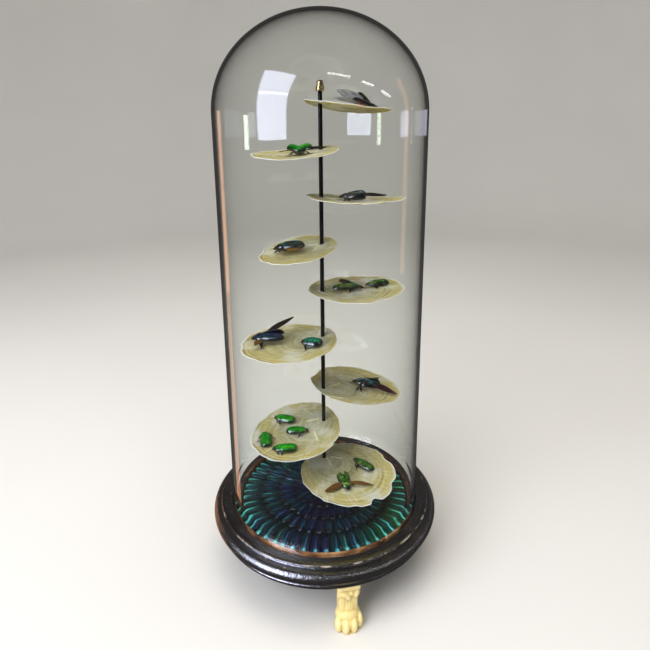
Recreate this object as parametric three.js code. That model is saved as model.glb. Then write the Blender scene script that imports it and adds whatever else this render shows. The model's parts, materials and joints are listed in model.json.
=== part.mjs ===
// Glass dome of beetles: a tall blown-glass dome on a turned, ebonised wood base with three
// lion-paw feet. Inside, nine windowpane-oyster shells are threaded on a steel rod as shelves,
// dried beetles rest on them, and a bed of jewel-beetle wing cases covers the floor.
// Millimetres, +Z up. The origin is on the rod's axis, at the surface that the feet stand on.
import * as THREE from 'three';

// ---- Driving dimensions -------------------------------------------------------------------
const SEAT = 72.5;            // height of the rim that surrounds the glass
const ROUND = 36;             // facets round each turned piece
const GAP = 0.3;              // clearance between pieces that touch

const DOME_RADIUS = 100;      // outside of the glass
const GLASS = 3;              // thickness of the glass
const WALL_HEIGHT = 404;      // straight wall, from the rim to the spring of the crown
const CROWN = 90.5;           // rise of the crown above the straight wall
const GROOVE_DEPTH = 6;       // groove in the base that the glass stands in
const GROOVE_OUTER = 101.2;   // the groove is wider than the glass, so that the dome drops in
const GROOVE_INNER = 96.4;

const BASE_BOTTOM = 50.1;     // underside of the wood base
const TORUS_RADIUS = 115;     // distance of the big half-round from the axis
const TORUS_ROUND = 6.4;      // its own radius
const TORUS_HEIGHT = 62.5;
const RIM_EDGE = 113.2;       // outer edge of the upper moulding
const QUIRK = 2;              // depth of the groove between that moulding and the half-round
const COVE = 6;               // width of the slope from the rim's crest down towards the glass
const FILLET_EDGE = 116.8;    // small bead under the half-round
const PLATFORM = 69.5;        // level inside the groove, where the wing cases lie

const RING_INNER = 92.4;      // copper-brown bead between the glass and the wing cases
const RING_OUTER = 96.1;
const RING_TOP = 74.5;

const BED_RIM = 73.7;         // top of the wing cases at their tips
const BED_CROWN = 77.5;       // and near the rod, where the rows lap over each other

const ROD_RADIUS = 2.05;
const ROD_FOOT = 59.5;        // the rod stands in a blind hole in the base
const ROD_TOP = 500.9;
const ROD_HOLE = 2.45;        // radius of every hole that the rod passes
const CAP_BOTTOM = 496.6;     // the brass cap is pushed over the rod's end
const CAP_SHOULDER = 501.2;
const CAP_TOP = 506.2;
const CAP_COLLAR = 3.9;
const CAP_BARREL = 3.2;

const FOOT_TURNS = { front: 11.2, right: 131.2, left: -108.8 };  // degrees from the front
const FOOT_CENTRE = 105.8;    // from the axis to the middle of a foot

const SHELL_THICKNESS = 1;
const SHELL_DISH = 3.2;       // rise of a shell's rim above its middle
const LEG_CLEARANCE = 1.4;    // height of a beetle's belly above the shell, on its folded legs

// One row for each shell, from the top down. Its plane passes through the rod at `height` and
// rises by `slope` along X and Y. `centre` and `radius` give the outline; `oval` is its out of
// round and the direction in degrees of its long way; `wave` lifts the two ends of one diameter.
const SHELLS = [
  { height: 485.9, centre: [27.1, 19.8], radius: 43, slope: [-0.114, -0.056], oval: [0.014, 71], wave: [1.4, 0] },
  { height: 443.5, centre: [-24.1, -16.5], radius: 41.2, slope: [0.064, 0.062], oval: [0.008, 95], wave: [1.2, 15] },
  { height: 397.8, centre: [33.4, -8.9], radius: 47.2, slope: [-0.031, -0.06], oval: [0.012, -14], wave: [1.7, -11] },
  { height: 352.4, centre: [-23, -11.7], radius: 37.9, slope: [0.122, 0.121], oval: [0.03, 60], wave: [0.5, 62] },
  { height: 302.5, centre: [34.6, 5.4], radius: 47.6, slope: [0.027, -0.007], oval: [0.015, 5], wave: [0.9, 10] },
  { height: 254.7, centre: [-34.4, -12.9], radius: 48.5, slope: [0.048, 0.02], oval: [0.013, 11], wave: [0.5, 23] },
  { height: 196, centre: [36.2, 14.9], radius: 48.1, slope: [-0.14, -0.044], oval: [0.011, -21], wave: [0.4, 107] },
  { height: 158, centre: [-29.3, -16.5], radius: 47.7, slope: [0.073, 0.095], oval: [0.033, 56], wave: [1.1, 72] },
  { height: 112.8, centre: [25.6, -25.4], radius: 48.3, slope: [-0.045, 0.095], oval: [0.026, 2], wave: [0.3, 58] },
];

// One row for each beetle: the shell it rests on, the middle of its body on that shell, its
// heading in degrees from +X, and the length, breadth and depth of the body.
const BEETLES = [
  { name: 'beetle_1_dark', shell: 1, at: [44, 2], heading: -8, size: [24, 11, 7.5] },
  { name: 'beetle_2_green', shell: 2, at: [-16, -14], heading: 62, size: [20, 10, 6.5] },
  { name: 'beetle_3_blue', shell: 3, at: [29, -8], heading: 172, size: [27, 11, 7.5] },
  { name: 'beetle_4_teal', shell: 4, at: [-31, -24], heading: 175, size: [28, 11.5, 8] },
  { name: 'beetle_5_left', shell: 5, at: [31, 8], heading: -26, size: [22, 9, 6] },
  { name: 'beetle_5_right', shell: 5, at: [56, 14], heading: 177, size: [22, 8.5, 6] },
  { name: 'beetle_6_large', shell: 6, at: [-55, -11], heading: 168, size: [34, 13, 9] },
  { name: 'beetle_6_round', shell: 6, at: [-13, -25], heading: 158, size: [23, 15, 9] },
  { name: 'beetle_7_blue', shell: 7, at: [47, 19], heading: -14, size: [28, 12, 8] },
  { name: 'beetle_8_back', shell: 8, at: [-42.5, -1], heading: 155, size: [25, 10.5, 7] },
  { name: 'beetle_8_middle', shell: 8, at: [-27, -18], heading: -8, size: [23, 10, 6.5] },
  { name: 'beetle_8_left', shell: 8, at: [-58.5, -29.5], heading: 103, size: [22, 11, 7] },
  { name: 'beetle_8_front', shell: 8, at: [-39, -48], heading: 178, size: [24.5, 10.5, 7] },
  { name: 'beetle_9_back', shell: 9, at: [40.5, -12], heading: 148, size: [25, 9.5, 6.5] },
  { name: 'beetle_9_front', shell: 9, at: [20.5, -40], heading: -74, size: [22, 9, 6] },
];

// ---- Materials ----------------------------------------------------------------------------
const FINISHES = {
  ebonised_wood: { color: '#17120f', roughness: 0.3 },
  copper_brown_wood: { color: '#7a4a2c', roughness: 0.4 },
  ivory_resin: { color: '#dcc98e', roughness: 0.5 },
  dome_glass: { color: '#e6eeea', roughness: 0.02, transparent: true, opacity: 0.25 },
  dark_steel: { color: '#2b2a2c', roughness: 0.3, metalness: 0.9 },
  brass: { color: '#c9a256', roughness: 0.25, metalness: 1 },
  oyster_shell: { color: '#e3ddb4', roughness: 0.35 },
  wing_case: { color: '#0d3a3f', roughness: 0.25, metalness: 0.6 },
  beetle_green: { color: '#1c8a36', roughness: 0.25, metalness: 0.6 },
  beetle_dark: { color: '#141c2c', roughness: 0.25, metalness: 0.5 },
};

const material = (finish) => new THREE.MeshStandardMaterial(FINISHES[finish]);

// ---- Helpers ------------------------------------------------------------------------------
const radians = THREE.MathUtils.degToRad;
const part = new THREE.Group();

function add(name, finish, geometry) {
  const mesh = new THREE.Mesh(geometry, material(finish));
  mesh.name = name;
  part.add(mesh);
  return mesh;
}

// Points of a circle or ellipse arc in a turning profile, from one angle to another.
function arc(centreRadius, centreHeight, radiusAcross, radiusUp, from, to, steps) {
  const points = [];
  for (let i = 0; i <= steps; i += 1) {
    const angle = radians(from + ((to - from) * i) / steps);
    points.push([centreRadius + radiusAcross * Math.cos(angle), centreHeight + radiusUp * Math.sin(angle)]);
  }
  return points;
}

// A turned solid. The profile's points are [radius, height], outside wall going up.
function turned(profile, facets = ROUND) {
  const points = profile.map(([radius, height]) => new THREE.Vector2(Math.max(radius, 0), height));
  return new THREE.LatheGeometry(points, facets).rotateX(Math.PI / 2);
}

// ---- Base, ring and feet ------------------------------------------------------------------
function turnedBase() {
  const grooveFloor = SEAT - GROOVE_DEPTH;
  const holeFloor = ROD_FOOT - GAP;
  const chamfer = 1.5;
  const crest = 0.7;
  return turned([
    [0, BASE_BOTTOM],
    [FILLET_EDGE - chamfer, BASE_BOTTOM],
    [FILLET_EDGE, BASE_BOTTOM + chamfer],
    [FILLET_EDGE, BASE_BOTTOM + 2 * chamfer],
    [FILLET_EDGE - chamfer, BASE_BOTTOM + 3 * chamfer],
    ...arc(TORUS_RADIUS, TORUS_HEIGHT, TORUS_ROUND, TORUS_ROUND, -76, 90, 7),
    [RIM_EDGE - QUIRK + crest, SEAT - 3.1],
    [RIM_EDGE - QUIRK, SEAT - 1.9],
    [RIM_EDGE, SEAT - 1.3],
    [RIM_EDGE, SEAT],
    [RIM_EDGE - crest, SEAT + crest],
    [RIM_EDGE - COVE, SEAT - crest],
    [GROOVE_OUTER, SEAT],
    [GROOVE_OUTER, grooveFloor],
    [GROOVE_INNER, grooveFloor],
    [GROOVE_INNER, PLATFORM],
    [ROD_HOLE, PLATFORM],
    [ROD_HOLE, holeFloor],
    [0, holeFloor],
  ]);
}

function seatRing() {
  const bottom = PLATFORM + GAP;
  const middle = (RING_INNER + RING_OUTER) / 2;
  const half = (RING_OUTER - RING_INNER) / 2;
  const shoulder = RING_TOP - half * 0.75;
  return turned([
    [RING_INNER, bottom],
    [RING_OUTER, bottom],
    ...arc(middle, shoulder, half, RING_TOP - shoulder, 0, 180, 4),
    [RING_INNER, bottom],
  ]);
}

// A lion's paw: [height, breadth, depth, outward shift of the middle], from the sole up.
const PAW_SECTIONS = [
  [0, 23.5, 20, 1.2],
  [4, 26.4, 22.5, 1.6],
  [13, 27, 21, 1.2],
  [20, 22, 18, 0],
  [27, 19.5, 16.5, -0.8],
  [39, 19.8, 17.5, -0.8],
  [41, 22.3, 20, 0],
  [BASE_BOTTOM - GAP, 22.3, 20, 0],
];

function pawFoot(turn) {
  const facets = 12;
  const squareness = 0.62;   // 1 is a round section, 0 a square one
  const profile = PAW_SECTIONS.map(([height]) => [1, height]);
  const top = profile[profile.length - 1][1];
  const geometry = turned([[0, 0], ...profile, [0, top]], facets);
  const position = geometry.getAttribute('position');
  for (let i = 0; i < position.count; i += 1) {
    const height = position.getZ(i);
    const section = PAW_SECTIONS.find((row) => Math.abs(row[0] - height) < 0.01);
    const across = Math.sign(position.getX(i)) * Math.abs(position.getX(i)) ** squareness;
    const outward = Math.sign(position.getY(i)) * Math.abs(position.getY(i)) ** squareness;
    position.setX(i, (across * section[1]) / 2);
    position.setY(i, (outward * section[2]) / 2 - section[3]);
  }
  return geometry.translate(0, -FOOT_CENTRE, 0).rotateZ(radians(turn));
}

// ---- Glass dome ---------------------------------------------------------------------------
function glassDome() {
  const spring = SEAT + WALL_HEIGHT;
  const foot = SEAT - GROOVE_DEPTH + GAP;
  const inner = DOME_RADIUS - GLASS;
  const crownSteps = 7;
  return turned([
    ...arc(0, spring, inner, CROWN - GLASS, 90, 0, crownSteps),
    [inner, foot],
    [DOME_RADIUS, foot],
    ...arc(0, spring, DOME_RADIUS, CROWN, 0, 90, crownSteps),
  ]);
}

// ---- Rod, cap and floor -------------------------------------------------------------------
function rod() {
  return turned([[0, ROD_FOOT], [ROD_RADIUS, ROD_FOOT], [ROD_RADIUS, ROD_TOP], [0, ROD_TOP]], 12);
}

function brassCap() {
  const socketTop = ROD_TOP + GAP;
  return turned([
    [0, socketTop],
    [ROD_HOLE, socketTop],
    [ROD_HOLE, CAP_BOTTOM],
    [CAP_COLLAR, CAP_BOTTOM],
    [CAP_COLLAR, CAP_SHOULDER - 0.4],
    [CAP_BARREL, CAP_SHOULDER],
    [CAP_BARREL, CAP_TOP - 1.6],
    [CAP_BARREL * 0.6, CAP_TOP - 0.3],
    [0, CAP_TOP],
  ], 16);
}

function wingCaseBed() {
  const edge = RING_INNER - GAP;
  const bottom = PLATFORM + GAP;
  return turned([
    [ROD_HOLE, bottom],
    [edge, bottom],
    [edge, BED_RIM],
    [edge * 0.5, (BED_RIM + BED_CROWN) / 2 + 0.4],
    [ROD_HOLE, BED_CROWN],
    [ROD_HOLE, bottom],
  ]);
}

// ---- Shells -------------------------------------------------------------------------------
// Height of a shell's upper face above its middle plane through the rod, at a point in plan.
function shellHeight(shell, x, y) {
  const [cx, cy] = shell.centre;
  const fromCentre = Math.hypot(x - cx, y - cy) / shell.radius;
  const holeFromCentre = Math.hypot(cx, cy) / shell.radius;
  const direction = Math.atan2(y - cy, x - cx);
  const [waveHeight, waveTurn] = shell.wave;
  const wave = waveHeight * fromCentre ** 2 * Math.cos(2 * (direction - radians(waveTurn)));
  const dish = SHELL_DISH * (fromCentre ** 2 - holeFromCentre ** 2);
  return shell.height + shell.slope[0] * x + shell.slope[1] * y + dish + wave;
}

// A shell grows from its beak, by the rod hole, in rings that shift and widen out to the rim.
// The solid starts as a turned washer whose radius runs from 1 at the hole to 2 at the rim.
function shellPlate(shell) {
  const facets = 24;
  const rings = [1, 1.5, 2];
  const under = rings.map((ring) => [ring, 0]);
  const upper = rings.map((ring) => [ring, 1]).reverse();
  const geometry = turned([...under, ...upper, under[0]], facets);
  const position = geometry.getAttribute('position');
  const [cx, cy] = shell.centre;
  for (let i = 0; i < position.count; i += 1) {
    const growth = Math.hypot(position.getX(i), position.getY(i)) - 1;
    const angle = Math.atan2(position.getY(i), position.getX(i));
    const side = position.getZ(i) - 1;
    const oval = 1 + shell.oval[0] * Math.cos(2 * (angle - radians(shell.oval[1])));
    const reach = ROD_HOLE + (shell.radius * oval - ROD_HOLE) * growth;
    const x = cx * growth + reach * Math.cos(angle);
    const y = cy * growth + reach * Math.sin(angle);
    position.setXYZ(i, x, y, shellHeight(shell, x, y) + side * SHELL_THICKNESS);
  }
  return geometry;
}

// ---- Beetles ------------------------------------------------------------------------------
// A body's outer shape, tilted with its shell and lifted so that it rests on it.
function beetleBody({ shell: number, at, heading, size }) {
  const shell = SHELLS[number - 1];
  const lift = size[2] / 2 + LEG_CLEARANCE;
  const tilt = new THREE.Matrix4().makeBasis(
    new THREE.Vector3(1, 0, shell.slope[0]).normalize(),
    new THREE.Vector3(0, 1, shell.slope[1]).normalize(),
    new THREE.Vector3(-shell.slope[0], -shell.slope[1], 1).normalize(),
  );
  return new THREE.SphereGeometry(0.5, 10, 7)
    .rotateX(Math.PI / 2)
    .scale(...size)
    .rotateZ(radians(heading))
    .applyMatrix4(tilt)
    .translate(at[0], at[1], shellHeight(shell, at[0], at[1]) + lift);
}

// ---- Assembly -----------------------------------------------------------------------------
add('turned_base', 'ebonised_wood', turnedBase());
add('seat_ring', 'copper_brown_wood', seatRing());
for (const [place, turn] of Object.entries(FOOT_TURNS)) {
  add(`paw_foot_${place}`, 'ivory_resin', pawFoot(turn));
}
add('glass_dome', 'dome_glass', glassDome());
add('rod', 'dark_steel', rod());
add('brass_cap', 'brass', brassCap());
add('wing_case_bed', 'wing_case', wingCaseBed());
SHELLS.forEach((shell, index) => add(`oyster_shell_${index + 1}`, 'oyster_shell', shellPlate(shell)));
const darkBodies = /dark|blue|teal|large/;
for (const beetle of BEETLES) {
  add(beetle.name, darkBodies.test(beetle.name) ? 'beetle_dark' : 'beetle_green', beetleBody(beetle));
}

export default part;
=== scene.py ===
# %% [markdown]
# # A glass dome of beetles
# A blown-glass dome stands in the groove of a turned, black-stained base on three cast lion's
# paws. Inside it, nine windowpane-oyster shells are threaded on a steel rod as shelves. Dried
# beetles lie on them, and a fan of jewel-beetle wing cases covers the floor.
# The sizes come from the measured solids, so the first step loads those and keeps their box.

# %% The measured frame
import json
import math
import random

import bmesh
import bpy
from mathutils import Matrix, Vector, noise

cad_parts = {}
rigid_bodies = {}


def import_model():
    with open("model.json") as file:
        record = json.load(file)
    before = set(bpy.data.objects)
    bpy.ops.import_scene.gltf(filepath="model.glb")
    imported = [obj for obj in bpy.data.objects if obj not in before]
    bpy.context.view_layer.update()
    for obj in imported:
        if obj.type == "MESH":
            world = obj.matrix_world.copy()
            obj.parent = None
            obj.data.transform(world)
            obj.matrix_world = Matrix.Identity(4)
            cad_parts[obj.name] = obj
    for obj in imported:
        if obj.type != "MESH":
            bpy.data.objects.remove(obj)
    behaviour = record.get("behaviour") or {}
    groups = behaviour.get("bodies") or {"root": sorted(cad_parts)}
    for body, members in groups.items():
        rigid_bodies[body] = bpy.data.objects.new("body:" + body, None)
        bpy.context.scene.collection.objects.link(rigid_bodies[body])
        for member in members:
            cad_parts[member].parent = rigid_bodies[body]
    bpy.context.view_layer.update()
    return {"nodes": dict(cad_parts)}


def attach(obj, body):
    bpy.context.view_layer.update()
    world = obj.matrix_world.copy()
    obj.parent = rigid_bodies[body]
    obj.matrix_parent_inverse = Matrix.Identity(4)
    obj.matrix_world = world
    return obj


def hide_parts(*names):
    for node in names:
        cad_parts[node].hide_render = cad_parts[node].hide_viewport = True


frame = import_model()
MM = 0.001
random.seed(11)
print("measured solids:", len(frame["nodes"]))

# %% [markdown]
# ## Colours and nodes
# Paint charts and web colours are sRGB hex values, but a shader socket takes linear light. One
# function converts them. Another adds any shader node with its settings and its links, so that
# a finish reads like a list of ingredients. Sockets that share a name are given by number. On a
# Map Range, 1 and 2 are the range that is read and 3 and 4 the range that comes out. On a Mix, 0
# is the share of the second colour, 6 is the first colour and 7 the second.

# %% Colour and node helpers
def colour(code):
    """An sRGB hex value as the linear colour that a socket takes."""
    channels = [int(code[i:i + 2], 16) / 255 for i in (1, 3, 5)]
    linear = [c / 12.92 if c <= 0.04045 else ((c + 0.055) / 1.055) ** 2.4 for c in channels]
    return (*linear, 1.0)


def add_node(tree, kind, inputs=None, stops=None, **settings):
    """Adds one shader node. An input is a value or another node's output; stops fill a ramp."""
    made = tree.nodes.new("ShaderNode" + kind)
    for name, value in settings.items():
        setattr(made, name, value)
    if stops:
        marks = made.color_ramp.elements
        marks[0].position, marks[0].color = stops[0][0], colour(stops[0][1])
        marks[1].position, marks[1].color = stops[-1][0], colour(stops[-1][1])
        for place, shade in stops[1:-1]:
            marks.new(place).color = colour(shade)
    for name, value in (inputs or {}).items():
        if isinstance(value, bpy.types.NodeSocket):
            tree.links.new(value, made.inputs[name])
        else:
            made.inputs[name].default_value = value
    return made


def new_finish(name, sockets):
    """A material and its shader, with the values that are the same all over set on the shader."""
    finish = bpy.data.materials.new(name)
    finish.use_nodes = True
    shader = finish.node_tree.nodes["Principled BSDF"]
    for socket, value in sockets.items():
        shader.inputs[socket].default_value = value
    return finish, finish.node_tree, shader


def work_surface(tree, shader, marks, rough, bump=None):
    """One pattern sets the roughness, from its dark to its light marks, and the bump's
    strength and depth in metres."""
    spread = add_node(tree, "MapRange", {"Value": marks, 1: 0.3, 2: 0.7, 3: rough[0], 4: rough[1]})
    tree.links.new(spread.outputs[0], shader.inputs["Roughness"])
    if bump:
        raised = add_node(tree, "Bump", {"Height": marks, "Strength": bump[0], "Distance": bump[1]})
        tree.links.new(raised.outputs[0], shader.inputs["Normal"])


# %% [markdown]
# ## Modelling helpers
# Each piece is modelled as by hand: add a primitive, go into edit mode, select by place, and
# move, scale, extrude, spin or cut. These helpers keep those steps short. The turned pieces all
# start as a string of points, the outline that a turner would cut as a card template.

# %% Selecting and editing
def only(piece):
    """Selects this piece alone and makes it active."""
    bpy.ops.object.select_all(action="DESELECT")
    piece.select_set(True)
    bpy.context.view_layer.objects.active = piece


def edit(piece):
    """Goes into edit mode on this piece, with all of it selected."""
    only(piece)
    bpy.ops.object.mode_set(mode="EDIT")
    bpy.ops.mesh.select_mode(type="VERT")
    bpy.ops.mesh.select_all(action="SELECT")


def select(test):
    """In edit mode, selects the vertices whose place passes the test."""
    mesh = bmesh.from_edit_mesh(bpy.context.object.data)
    for vertex in mesh.verts:
        vertex.select_set(bool(test(vertex.co)))
    mesh.select_flush(True)
    bmesh.update_edit_mesh(bpy.context.object.data)


def leave():
    """Back to object mode; gives the piece that was edited."""
    bpy.ops.object.mode_set(mode="OBJECT")
    return bpy.context.object


def cut_off(place, away):
    """In edit mode, cuts the piece flat at a place, drops the side away from it and fills the cut."""
    bpy.ops.mesh.select_all(action="SELECT")
    bpy.ops.mesh.bisect(plane_co=place, plane_no=away, clear_outer=True, use_fill=True)
    bpy.ops.mesh.select_all(action="SELECT")


def apply_modifier(piece, kind, **settings):
    """Adds a modifier, sets it and applies it."""
    only(piece)
    modifier = piece.modifiers.new(kind.title(), kind)
    for name, value in settings.items():
        setattr(modifier, name, value)
    bpy.ops.object.modifier_apply(modifier=modifier.name)


def smooth(piece, degrees=35):
    """Smooth shading that keeps edges sharper than this angle crisp."""
    only(piece)
    bpy.ops.object.shade_smooth_by_angle(angle=math.radians(degrees))


def copy_of(piece):
    """A copy of a piece, with its own mesh, in the scene."""
    copy = piece.copy()
    copy.data = piece.data.copy()
    bpy.context.scene.collection.objects.link(copy)
    return copy


def joined(pieces):
    """Joins the pieces into the first of them."""
    bpy.ops.object.select_all(action="DESELECT")
    for piece in pieces:
        piece.select_set(True)
    bpy.context.view_layer.objects.active = pieces[0]
    bpy.ops.object.join()
    return bpy.context.object


# %% Strings of points and turned pieces
def arc(across, up, radius_across, radius_up, start, end, steps):
    """Points of a circle or ellipse arc in an outline, in mm, from one angle to another."""
    points = []
    for i in range(steps + 1):
        angle = math.radians(start + (end - start) * i / steps)
        points.append((across + radius_across * math.cos(angle), up + radius_up * math.sin(angle)))
    return points


def string_of_points(points):
    """One vertex, extruded from point to point. It stays in edit mode."""
    bpy.ops.object.select_all(action="DESELECT")
    bpy.ops.mesh.primitive_plane_add(size=MM)
    edit(bpy.context.object)
    bpy.ops.mesh.merge(type="CENTER")
    bpy.ops.transform.translate(value=points[0])
    for start, end in zip(points, points[1:]):
        bpy.ops.mesh.extrude_vertices_move(TRANSFORM_OT_translate={"value": end - start})


def turned_piece(profile, steps=144):
    """Spins an outline of (radius, height) points in mm about the upright axis."""
    string_of_points([Vector((radius, 0, height)) * MM for radius, height in profile])
    bpy.ops.mesh.select_all(action="SELECT")
    bpy.ops.mesh.spin(steps=steps, angle=math.tau, center=(0, 0, 0), axis=(0, 0, 1))
    bpy.ops.mesh.select_all(action="SELECT")
    bpy.ops.mesh.remove_doubles(threshold=0.01 * MM)
    bpy.ops.mesh.normals_make_consistent(inside=False)
    return leave()


def hand_over(piece, name, finish, slot, *cad_nodes):
    """Names a finished piece, gives it its finish, and lets it stand for its measured solids."""
    piece.name = name
    if finish:
        piece.data.materials.clear()
        piece.data.materials.append(finish)
    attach(piece, "root")
    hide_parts(*cad_nodes)
    print(name, len(piece.data.polygons), "faces")


# %% [markdown]
# ## Ebonised wood
# The base is a close-grained wood, turned, stained black and brushed with a thick gloss polish.
# Brush polish dries with an orange peel, a bump of about 2 mm that the wood and its coat share, so
# every reflection is broken up. The coat's index of 3.2 is stronger than that of a real polish, so
# that the highlights show on the black. A broken pale line is painted along the front half of the
# upper moulding's crest: partly the crest rubbed through to a pale, chalky ground, and partly a
# painted highlight along its edge. Small chips of the same ground lie all over.

# %% Ebonised wood finish
ebony, tree, shader = new_finish("ebonised_wood_brushed_polish", {
    "Coat Weight": 1.0, "Coat Roughness": 0.18, "Coat IOR": 3.2, "Specular IOR Level": 1.0,
})
place = add_node(tree, "TexCoord").outputs["Object"]
stain = add_node(tree, "TexNoise", {"Vector": place, "Scale": 38.0, "Detail": 5.0, "Roughness": 0.6})
black = add_node(tree, "ValToRGB", {"Fac": stain.outputs["Fac"]}, stops=[
    (0.32, "#070605"), (0.54, "#100c0a"), (0.74, "#2c1d14"),
])
flat = add_node(tree, "VectorMath", {0: place, 1: (1, 1, 0)}, operation="MULTIPLY")
radius = add_node(tree, "VectorMath", {0: flat.outputs[0]}, operation="LENGTH").outputs["Value"]
crest = add_node(tree, "MapRange", {"Value": radius, 1: 0.1112, 2: 0.1129, 3: 0.0, 4: 1.0})
axes = add_node(tree, "SeparateXYZ", {0: place})
high = add_node(tree, "MapRange", {"Value": axes.outputs["Z"], 1: 0.0719, 2: 0.0727})
on_crest = add_node(tree, "Math", {0: crest.outputs[0], 1: high.outputs[0]}, operation="MULTIPLY")
# The pale line is kept to the front half of the crest: wear, and a painted highlight along the edge.
front = add_node(tree, "MapRange", {"Value": axes.outputs["Y"], 2: 0.05, 3: 1.0, 4: 0.0})
on_crest = add_node(tree, "Math", {0: on_crest.outputs[0], 1: front.outputs[0]}, operation="MULTIPLY")
rub = add_node(tree, "TexNoise", {"Vector": place, "Scale": 60.0, "Detail": 8.0, "Roughness": 0.75})
rubbed = add_node(tree, "MapRange", {"Value": rub.outputs["Fac"], 1: 0.52, 2: 0.60, 3: 0.0, 4: 0.85})
crest_wear_and_highlight = add_node(tree, "Math", {0: rubbed.outputs[0], 1: on_crest.outputs[0]}, operation="MULTIPLY")
chip = add_node(tree, "TexNoise", {"Vector": place, "Scale": 190.0, "Detail": 3.0, "Roughness": 0.55})
chipped = add_node(tree, "MapRange", {"Value": chip.outputs["Fac"], 1: 0.725, 2: 0.74, 3: 0.0, 4: 0.8})
bare = add_node(tree, "Mix", {0: crest_wear_and_highlight.outputs[0], 6: black.outputs[0], 7: colour("#c9bda9")},
                data_type="RGBA")
bare = add_node(tree, "Mix", {0: chipped.outputs[0], 6: bare.outputs[2], 7: colour("#d3c9b8")},
                data_type="RGBA")
tree.links.new(bare.outputs[2], shader.inputs["Base Color"])
rough = add_node(tree, "MapRange", {"Value": stain.outputs["Fac"], 1: 0.3, 2: 0.75, 3: 0.26, 4: 0.48})
tree.links.new(rough.outputs[0], shader.inputs["Roughness"])
peel = add_node(tree, "TexNoise", {"Vector": place, "Scale": 420.0, "Detail": 3.5, "Roughness": 0.6})
bump = add_node(tree, "Bump", {"Height": peel.outputs["Fac"], "Strength": 0.6, "Distance": 0.001})
tree.links.new(bump.outputs[0], shader.inputs["Normal"])
tree.links.new(bump.outputs[0], shader.inputs["Coat Normal"])

# %% [markdown]
# ## The turned base
# The base is one disc with a big half-round, a fine groove and a crested upper moulding, and a
# channel for the glass. A lathe cuts it as one outline turned round an axis, so the outline is
# drawn once and spun. Short arcs in the outline round its edges, as sanding does.

# %% Turned base
SEAT = 72.5            # mm; height of the rim that surrounds the glass
BASE_BOTTOM = 50.1     # mm above the floor
GROOVE = (96.4, 101.2)  # inner and outer radius of the channel, mm
ROD_HOLE = 2.45        # its radius, mm
base = turned_piece([
    (0, BASE_BOTTOM), (115.6, BASE_BOTTOM),
    *arc(115.4, 52.3, 1.4, 1.9, -70, 70, 5), (115.2, 55.0),
    *arc(115.0, 62.5, 6.4, 6.4, -76, 88, 20),
    (112.2, 69.2), (111.4, 69.8), (111.2, 70.6), (111.5, 71.2),
    *arc(112.2, 72.2, 1.0, 1.0, -60, 110, 7),
    (110.6, 72.3), (108.6, 71.8), (106.0, 71.7), (103.6, 72.0), (101.7, 72.4),
    (GROOVE[1], 72.0), (GROOVE[1], 66.5), (GROOVE[0], 66.5), (GROOVE[0], 69.5),
    (ROD_HOLE, 69.5), (ROD_HOLE, 59.2), (0, 59.2),
], steps=160)
smooth(base, 40)
hand_over(base, "ebonised_base", ebony, "ebonised_wood", "turned_base")

# %% [markdown]
# ## The copper-brown bead
# A thin wood bead lies just inside the glass and hides the edge of the floor. It was bronzed and
# has worn unevenly in patches, from dark umber to bright copper. The front is painted brighter
# copper, a painted sheen where the bead faces the light. Noise stretched round the ring would need
# a seam, so the patches come from a coarse noise instead.

# %% Bronzed bead finish and shape
bronzed, tree, shader = new_finish("bronzed_wood_bead", {"Metallic": 0.1})
place = add_node(tree, "TexCoord").outputs["Object"]
patch = add_node(tree, "TexNoise", {"Vector": place, "Scale": 55.0, "Detail": 6.0, "Roughness": 0.65})
back = add_node(tree, "SeparateXYZ", {0: place}).outputs["Y"]
# Painted sheen: the front of the bead is painted brighter copper, where it faces the light.
front_sheen = add_node(tree, "MapRange", {"Value": back, 1: -0.095, 2: -0.03, 3: 0.06, 4: -0.1})
wear_and_front_sheen = add_node(tree, "Math", {0: patch.outputs["Fac"], 1: front_sheen.outputs[0]}, operation="ADD")
copper = add_node(tree, "ValToRGB", {"Fac": wear_and_front_sheen.outputs[0]}, stops=[
    (0.32, "#24150e"), (0.44, "#5a3620"), (0.56, "#96673f"), (0.72, "#cfa273"),
])
tree.links.new(copper.outputs[0], shader.inputs["Base Color"])
work_surface(tree, shader, patch.outputs["Fac"], rough=(0.6, 0.4), bump=(0.3, 0.0006))

bead = turned_piece([
    (92.4, 69.8), (96.1, 69.8), (96.1, 72.6), *arc(94.25, 72.6, 1.85, 1.9, 0, 180, 8), (92.4, 69.8),
])
smooth(bead, 50)
hand_over(bead, "bronzed_bead", bronzed, "copper_brown_wood", "seat_ring")

# %% [markdown]
# ## Blown glass
# A dome like this is blown as one gather into a mould, so both faces are fire-polished and very
# slightly wavy. It is real 3 mm glass here: an outer and an inner wall, so that the light bends
# twice and the rim darkens. Shadow rays pass through, because tracing light through two walls
# of glass would leave the beetles in noise.

# %% Blown glass finish and dome
glass, tree, shader = new_finish("blown_soda_glass", {
    "Base Color": colour("#fbfdfb"), "Transmission Weight": 1.0, "Roughness": 0.0, "IOR": 1.5,
})
place = add_node(tree, "TexCoord").outputs["Object"]
wave = add_node(tree, "TexNoise", {"Vector": place, "Scale": 16.0, "Detail": 1.5, "Roughness": 0.4})
bump = add_node(tree, "Bump", {"Height": wave.outputs["Fac"], "Strength": 0.12, "Distance": 0.0011})
tree.links.new(bump.outputs[0], shader.inputs["Normal"])
passing = add_node(tree, "BsdfTransparent", {"Color": (0.96, 0.97, 0.96, 1)})
path = add_node(tree, "LightPath")
mixed = add_node(tree, "MixShader", {0: path.outputs["Is Shadow Ray"], 1: shader.outputs[0],
                                     2: passing.outputs[0]})
tree.links.new(mixed.outputs[0], tree.nodes["Material Output"].inputs["Surface"])

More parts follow.
